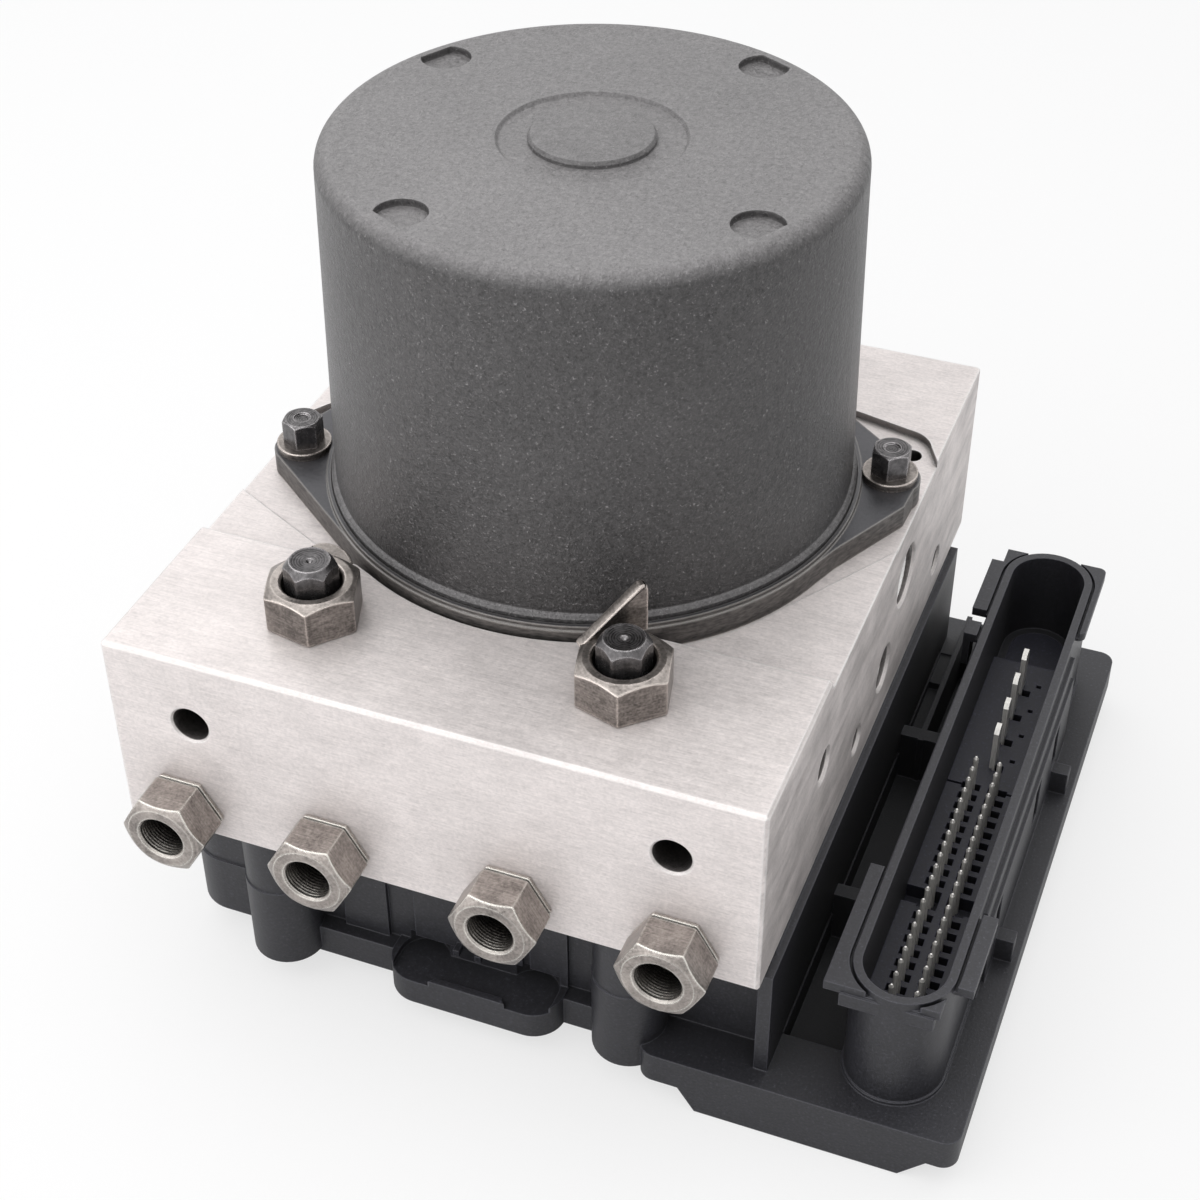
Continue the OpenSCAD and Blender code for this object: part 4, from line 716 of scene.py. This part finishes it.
# Pipe fittings: distances of the first two from the block's left side and of the last two
# from its right side, height of their axes, length in front of the block
OUTLETS_LEFT = (0.0102, 0.0341)
OUTLETS_RIGHT = (0.0373, 0.0123)
OUTLET_LEVEL = 0.0348
OUTLET_LENGTH = 0.0075
# Direction of one corner of each hexagon, in degrees
NUT_CORNERS = (49.0, 43.4)
PLUG_CORNER = 25.0


class BRAKE_OT_fittings(bpy.types.Operator):
    """Finish the pipe fittings, plugs and bolts"""
    bl_idname = "brake.fittings"
    bl_label = "Fittings and bolts"

    def execute(self, context):
        metal = context.scene.brake_metal
        self.outlets(metal, plated_steel(metal, "drawn_steel"))
        nut_steel = plated_steel(metal, "nut_steel", 0.86, "Z")
        wear(nut_steel, "outlet_fittings", "inlet_fitting_left", "inlet_fitting_right")
        low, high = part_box("motor_bolts")
        bolts = [(low[0] + BOLT_REACH, low[1] + BOLT_REACH),
                 (high[0] - BOLT_REACH, high[1] - BOLT_REACH)]
        dark = turned_dark_steel(metal, [*INLETS, *bolts])
        wear(dark, "motor_bolts", "ecu_screws", "blanking_plugs")
        wear(plated_steel(metal, "washer_steel", 0.7, "Z"), "motor_washers")
        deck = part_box("valve_block")[1][2]
        left, right = ((*inlet, deck) for inlet in INLETS)
        self.nuts(metal, nut_steel, left, right)
        self.plugs(metal, dark, left, right)
        return {"FINISHED"}

    def outlets(self, metal, material):
        """Pipe fittings: hexagon collar, groove, chamfered hexagon body and threaded mouth."""
        mouth, bore, spigot = 0.0035, 0.0027, 0.0038
        seat, ridge, ridge_step, ridges = 0.0053, 0.00013, 0.00025, 22
        front = OUTLET_LENGTH
        angle, radius = hexagon(metal.outlet_flats, 0.0)
        collar, groove = radius * 0.965, radius * 0.915
        profile = [(bore, -SPIGOT_DEPTH), (spigot, -SPIGOT_DEPTH), (spigot, 0.0),
                   (collar - 0.0002, 0.0), (collar, 0.0002), (collar, 0.0007),
                   (groove, 0.0008), (groove, 0.0011), (radius - 0.0002, 0.0011), (radius, 0.0013)]
        profile += coned(radius, seat, front, 0.62)[::-1]
        profile += [(mouth + 0.0003, front), (mouth, front - 0.0003)]
        profile += [(mouth + ridge * (step % 2), front - 0.0005 - ridge_step * step)
                    for step in range(ridges)]
        profile += [(bore, 0.0014)]
        rows = turned((0.0, 0.0, 0.0), angle, profile)
        low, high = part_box("valve_block")
        places = [low[0] + x for x in OUTLETS_LEFT] + [high[0] - x for x in OUTLETS_RIGHT]
        parts = [(forward(rows, (x, low[1], OUTLET_LEVEL)), True) for x in places]
        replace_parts(skin("outlet_nuts", parts, material), "outlet_fittings")

    def nuts(self, metal, material, left, right):
        """Hexagon nuts: spigot, chamfered flats, seat ring and bore, each as one surface."""
        bore, lead, spigot, seat, foot = 0.00445, 0.00035, 0.0056, 0.00585, 0.0003
        height = metal.nut_height
        for side, centre, corner in zip(("left", "right"), (left, right), NUT_CORNERS):
            angle, radius = hexagon(metal.nut_flats, corner)
            profile = [(spigot, -SPIGOT_DEPTH), (spigot, 0.0),
                       (radius - foot, 0.0), (radius, foot)]
            profile += coned(radius, seat, height, 0.60)[::-1]
            profile += [(bore + lead, height), (bore, height - lead), (bore, -SPIGOT_DEPTH)]
            rows = turned(centre, angle, profile)
            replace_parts(skin("nut_" + side, [(rows, True)], material),
                        "inlet_fitting_" + side)
        self.lug(material, right, height)
        self.tab(material, left)

    def lug(self, material, centre, height):
        """Upright three-cornered lug along the rear left flat of the right nut."""
        foot = height - 0.0008
        outline = rounded([(-0.0046, foot), (0.0057, foot), (0.0057, 0.0136), (0.0048, 0.0141)],
                          [0.0001, 0.0001, 0.0006, 0.0006])
        turn = math.radians(NUT_CORNERS[1])
        along = (math.cos(turn), math.sin(turn), 0.0)
        rows = slab(centre, along, (0.0, 0.0, 1.0), outline, -0.0066, -0.0049, 0.00025)
        skin("nut_right_lug", [(rows, False)], material)

    def tab(self, material, centre):
        """Round flat tab behind the left nut, which meets the motor flange."""
        outline = rounded([(-0.0052, 0.004), (0.0024, 0.004), (0.0028, 0.0078), (0.0, 0.0106),
                           (-0.0042, 0.0112), (-0.0056, 0.008)],
                          [0.0005, 0.0005, 0.0014, 0.0018, 0.0022, 0.0015])
        thickness = 0.0048
        rows = slab(centre, (1.0, 0.0, 0.0), (0.0, 1.0, 0.0), outline, 0.0, thickness)
        skin("nut_left_tab", [(rows, False)], material)

    def plugs(self, metal, material, left, right):
        """Hexagon plugs: stem in the bore, chamfered flats, turned face with a centre dimple."""
        stem, face, top, dimple = 0.00445, 0.00295, 0.0102, 0.0006
        angle, radius = hexagon(metal.plug_flats, PLUG_CORNER)
        profile = [(dimple, -0.003), (stem, -0.003), (stem, 0.0018), (radius, 0.002)]
        profile += coned(radius, face, top, 1.25)[::-1]
        profile += [(0.0024, top - 0.00014), (dimple, top - 0.0002), (0.0001, top - 0.0006)]
        parts = [(turned(centre, angle, profile), False) for centre in (left, right)]
        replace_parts(skin("hex_plugs", parts, material), "blanking_plugs")


class BRAKE_OT_motor(bpy.types.Operator):
    """Finish the motor can, its flange and what turns inside"""
    bl_idname = "brake.motor"
    bl_label = "Motor"

    def execute(self, context):
        coat = context.scene.brake_coat
        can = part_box("motor_can")
        wear(grained_coat(coat, can[1][2], middle("motor_can")), "motor_can")
        wear(dark_zinc(coat), "motor_flange")
        wear(inner_finish("sintered_magnet", (0.07, 0.068, 0.07), 0.6, 0.3), "motor_magnets")
        wear(inner_finish("laminated_iron", (0.3, 0.29, 0.28), 0.4, 1.0), "armature_core")
        wear(inner_finish("enamelled_copper", (0.62, 0.27, 0.12), 0.35, 1.0),
             "armature_winding", "commutator", "valve_coils")
        wear(inner_finish("pressed_carbon", (0.03, 0.03, 0.03), 0.6, 0.0), "carbon_brushes")
        wear(inner_finish("sintered_bronze", (0.6, 0.42, 0.2), 0.4, 1.0), "top_bush")
        wear(inner_finish("ground_steel", (0.6, 0.59, 0.57), 0.25, 1.0),
             "motor_shaft", "bearing_inner", "bearing_outer", "bearing_balls", "eccentric_ring",
             "pump_piston_front", "pump_piston_rear", "pump_spring_front", "pump_spring_rear",
             "brush_springs", "accumulator_spring_left", "accumulator_spring_right",
             "valve_springs")
        return {"FINISHED"}


class BRAKE_OT_hydraulics(bpy.types.Operator):
    """Finish the accumulators, valves and sensor"""
    bl_idname = "brake.hydraulics"
    bl_label = "Hydraulics"

    def execute(self, context):
        wear(inner_finish("anodised_aluminium", (0.66, 0.65, 0.63), 0.35, 1.0),
             "accumulator_piston_left", "accumulator_piston_right")
        wear(inner_finish("valve_steel", (0.5, 0.49, 0.48), 0.3, 1.0),
             "valve_cartridges", "pressure_sensor",
             *["valve_plunger_%d" % number for number in range(1, 9)])
        self.springs(inner_finish("spring_steel", (0.55, 0.54, 0.53), 0.25, 1.0))
        return {"FINISHED"}

    def springs(self, material):
        """Accumulator springs, each a coil in the box of its CAD node."""
        wire, turns, stroke = 0.0007, 4.0, 0.0051
        for side in ("left", "right"):
            node = "accumulator_spring_" + side
            low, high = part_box(node)
            rows = coil(low, high, wire, turns)
            piece = skin("coil_spring_" + side, [(rows, False)], material)
            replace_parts(piece, node)
            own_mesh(piece)


class BRAKE_OT_control_unit(bpy.types.Operator):
    """Finish the moulded control unit, its connector and its board"""
    bl_idname = "brake.control_unit"
    bl_label = "Control unit"

    def execute(self, context):
        plastic = context.scene.brake_plastic
        wear(moulded_plastic("moulded_housing", plastic.housing, plastic.grain, 0.42),
             "ecu_housing", "ecu_cover", "brush_plate")
        wear(moulded_plastic("moulded_carrier", plastic.carrier, plastic.grain * 0.5, 0.5),
             "pin_carrier", "pin_lock", "board_parts")
        wear(inner_finish("seal_rubber", (0.02, 0.02, 0.02), 0.7, 0.0), "ecu_seal")
        wear(inner_finish("solder_mask", (0.02, 0.12, 0.05), 0.3, 0.0), "circuit_board")
        wear(tinned_terminal(plastic), "signal_pins", "power_blades")
        return {"FINISHED"}


# Camera: turn, height and roll in degrees, place in metres, focal length and width in pixels
CAMERA_ANGLES = (21.38, 38.87, -0.26)
CAMERA_PLACE = (0.1034, -0.2620, 0.2641)
CAMERA_FOCUS = 2197.6
PHOTO_WIDTH = 1200.0
SENSOR_WIDTH = 36.0
FLOOR_LEVEL = -0.0002
# Share of plain white over the floor's shading, for camera rays only
FLOOR_GLOW = 0.68
# Lamps: name, direction, width of the square; both are aimed at the aim
LAMPS = (
    ("lamp_top", (-0.15, 0.05, 1.0), 1.2),
    ("lamp_front", (-0.55, -1.0, 0.45), 0.8),
)
LAMP_AIM = (0.0, 0.0, 0.05)
ROOM_LIGHT = 0.42


class BRAKE_OT_stage(bpy.types.Operator):
    """Put up the floor, the lamps and the camera"""
    bl_idname = "brake.stage"
    bl_label = "Stage"

    def execute(self, context):
        stage = context.scene.brake_stage
        self.camera(context)
        self.floor(stage)
        self.lamps(context, stage)
        self.world(context)
        context.scene.view_settings.view_transform = "Standard"
        return {"FINISHED"}

    def camera(self, context):
        """Camera at the photograph's place: turn, height and roll as angles."""
        turn, lift, roll = (math.radians(value) for value in CAMERA_ANGLES)
        back = np.array([math.sin(turn) * math.cos(lift), -math.cos(turn) * math.cos(lift),
                         math.sin(lift)])
        right = np.cross(-back, [0.0, 0.0, 1.0])
        right /= np.linalg.norm(right)
        up = np.cross(right, -back)
        across = math.cos(roll) * right + math.sin(roll) * up
        above = math.cos(roll) * up - math.sin(roll) * right
        data = bpy.data.cameras.new("camera")
        data.sensor_fit = "HORIZONTAL"
        data.sensor_width = SENSOR_WIDTH
        data.lens = SENSOR_WIDTH * CAMERA_FOCUS / PHOTO_WIDTH
        data.clip_start = 0.01
        data.clip_end = 50.0
        camera = bpy.data.objects.new("camera", data)
        place = np.eye(4)
        place[:3, 0], place[:3, 1], place[:3, 2] = across, above, back
        place[:3, 3] = CAMERA_PLACE
        camera.matrix_world = Matrix(place.tolist())
        context.collection.objects.link(camera)
        context.scene.camera = camera

    def floor(self, stage):
        """Flat pale floor at the foot of the module."""
        half = stage.floor_size / 2
        corners = [(x * half, y * half, FLOOR_LEVEL)
                   for x, y in ((-1, -1), (1, -1), (1, 1), (-1, 1))]
        mesh = bpy.data.meshes.new("floor")
        mesh.from_pydata(corners, [], [(0, 1, 2, 3)])
        f = Finish("pale_floor", (0.92, 0.92, 0.925), 0.6)
        soft = f.noise(3.0, 2.0)
        f.feed("Base Color", f.blend(soft, (0.91, 0.91, 0.915), (0.93, 0.93, 0.935)))
        f.shader.inputs["Specular IOR Level"].default_value = 0.1
        seen = f.node("ShaderNodeLightPath").outputs["Is Camera Ray"]
        lit = f.shader.outputs[0]
        glow = f.node("ShaderNodeEmission", None, {"Color": (1.0, 1.0, 1.0, 1.0), "Strength": 1.0})
        veil = f.node("ShaderNodeMixShader", None, {0: FLOOR_GLOW, 1: lit, 2: glow.outputs[0]})
        both = f.node("ShaderNodeMixShader", None, {0: seen, 1: lit, 2: veil.outputs[0]})
        f.tree.links.new(both.outputs[0], f.tree.nodes["Material Output"].inputs["Surface"])
        mesh.materials.append(f.material)
        floor = bpy.data.objects.new("floor", mesh)
        bpy.context.collection.objects.link(floor)

    def lamps(self, context, stage):
        """Large soft lamps, each aimed at the middle of the module."""
        for (name, direction, size), power in zip(LAMPS, (stage.key, stage.fill)):
            vector = np.array(direction) / np.linalg.norm(direction)
            data = bpy.data.lights.new(name, "AREA")
            data.shape = "SQUARE"
            data.size = size
            data.energy = power
            lamp = bpy.data.objects.new(name, data)
            side = np.cross([0.0, 1.0, 0.0], vector)
            side /= np.linalg.norm(side)
            place = np.eye(4)
            place[:3, 0], place[:3, 1], place[:3, 2] = side, np.cross(vector, side), vector
            place[:3, 3] = vector * stage.distance + np.array(LAMP_AIM)
            lamp.matrix_world = Matrix(place.tolist())
            lamp.visible_camera = False
            context.collection.objects.link(lamp)

    def world(self, context):
        """White for camera and mirror rays, a plain level of light otherwise."""
        world = bpy.data.worlds.new("studio")
        world.use_nodes = True
        tree = world.node_tree
        lit = tree.nodes["Background"]
        lit.inputs["Color"].default_value = (1.0, 1.0, 1.0, 1.0)
        lit.inputs["Strength"].default_value = ROOM_LIGHT
        seen = tree.nodes.new("ShaderNodeBackground")
        seen.inputs["Color"].default_value = (1.0, 1.0, 1.0, 1.0)
        seen.inputs["Strength"].default_value = 1.0
        path = tree.nodes.new("ShaderNodeLightPath")
        camera, mirror, clear = (Field(tree, path.outputs[name]) for name in (
            "Is Camera Ray", "Is Glossy Ray", "Is Transmission Ray"))
        mix = tree.nodes.new("ShaderNodeMixShader")
        tree.links.new(camera.most(mirror).most(clear).socket, mix.inputs[0])
        tree.links.new(lit.outputs[0], mix.inputs[1])
        tree.links.new(seen.outputs[0], mix.inputs[2])
        tree.links.new(mix.outputs[0], tree.nodes["World Output"].inputs["Surface"])
        context.scene.world = world


OPERATORS = (BRAKE_OT_stage, BRAKE_OT_block, BRAKE_OT_fittings, BRAKE_OT_motor,
             BRAKE_OT_hydraulics, BRAKE_OT_control_unit)


class BRAKE_PT_panel(bpy.types.Panel):
    """Lists the dressing steps and their settings"""
    bl_label = "Brake module"
    bl_idname = "BRAKE_PT_panel"
    bl_space_type = "VIEW_3D"
    bl_region_type = "UI"
    bl_category = "Brake module"

    def draw(self, context):
        for operator in OPERATORS:
            self.layout.operator(operator.bl_idname)
        for group in ("brake_coat", "brake_metal", "brake_plastic", "brake_stage"):
            settings = getattr(context.scene, group)
            column = self.layout.column()
            for name in settings.bl_rna.properties.keys():
                if name not in ("rna_type", "name"):
                    column.prop(settings, name)


GROUPS = {
    "brake_coat": BrakeCoatSettings,
    "brake_metal": BrakeMetalSettings,
    "brake_plastic": BrakePlasticSettings,
    "brake_stage": BrakeStageSettings,
}


def register():
    for group in GROUPS.values():
        bpy.utils.register_class(group)
    for operator in OPERATORS:
        bpy.utils.register_class(operator)
    bpy.utils.register_class(BRAKE_PT_panel)
    for name, group in GROUPS.items():
        setattr(bpy.types.Scene, name, PointerProperty(type=group))


def unregister():
    for name in GROUPS:
        delattr(bpy.types.Scene, name)
    bpy.utils.unregister_class(BRAKE_PT_panel)
    for operator in reversed(OPERATORS):
        bpy.utils.unregister_class(operator)
    for group in reversed(list(GROUPS.values())):
        bpy.utils.unregister_class(group)


def main():
    register()
    bpy.ops.brake.stage()
    bpy.ops.brake.block()
    bpy.ops.brake.fittings()
    bpy.ops.brake.motor()
    bpy.ops.brake.hydraulics()
    bpy.ops.brake.control_unit()


if __name__ == "__main__":
    main()
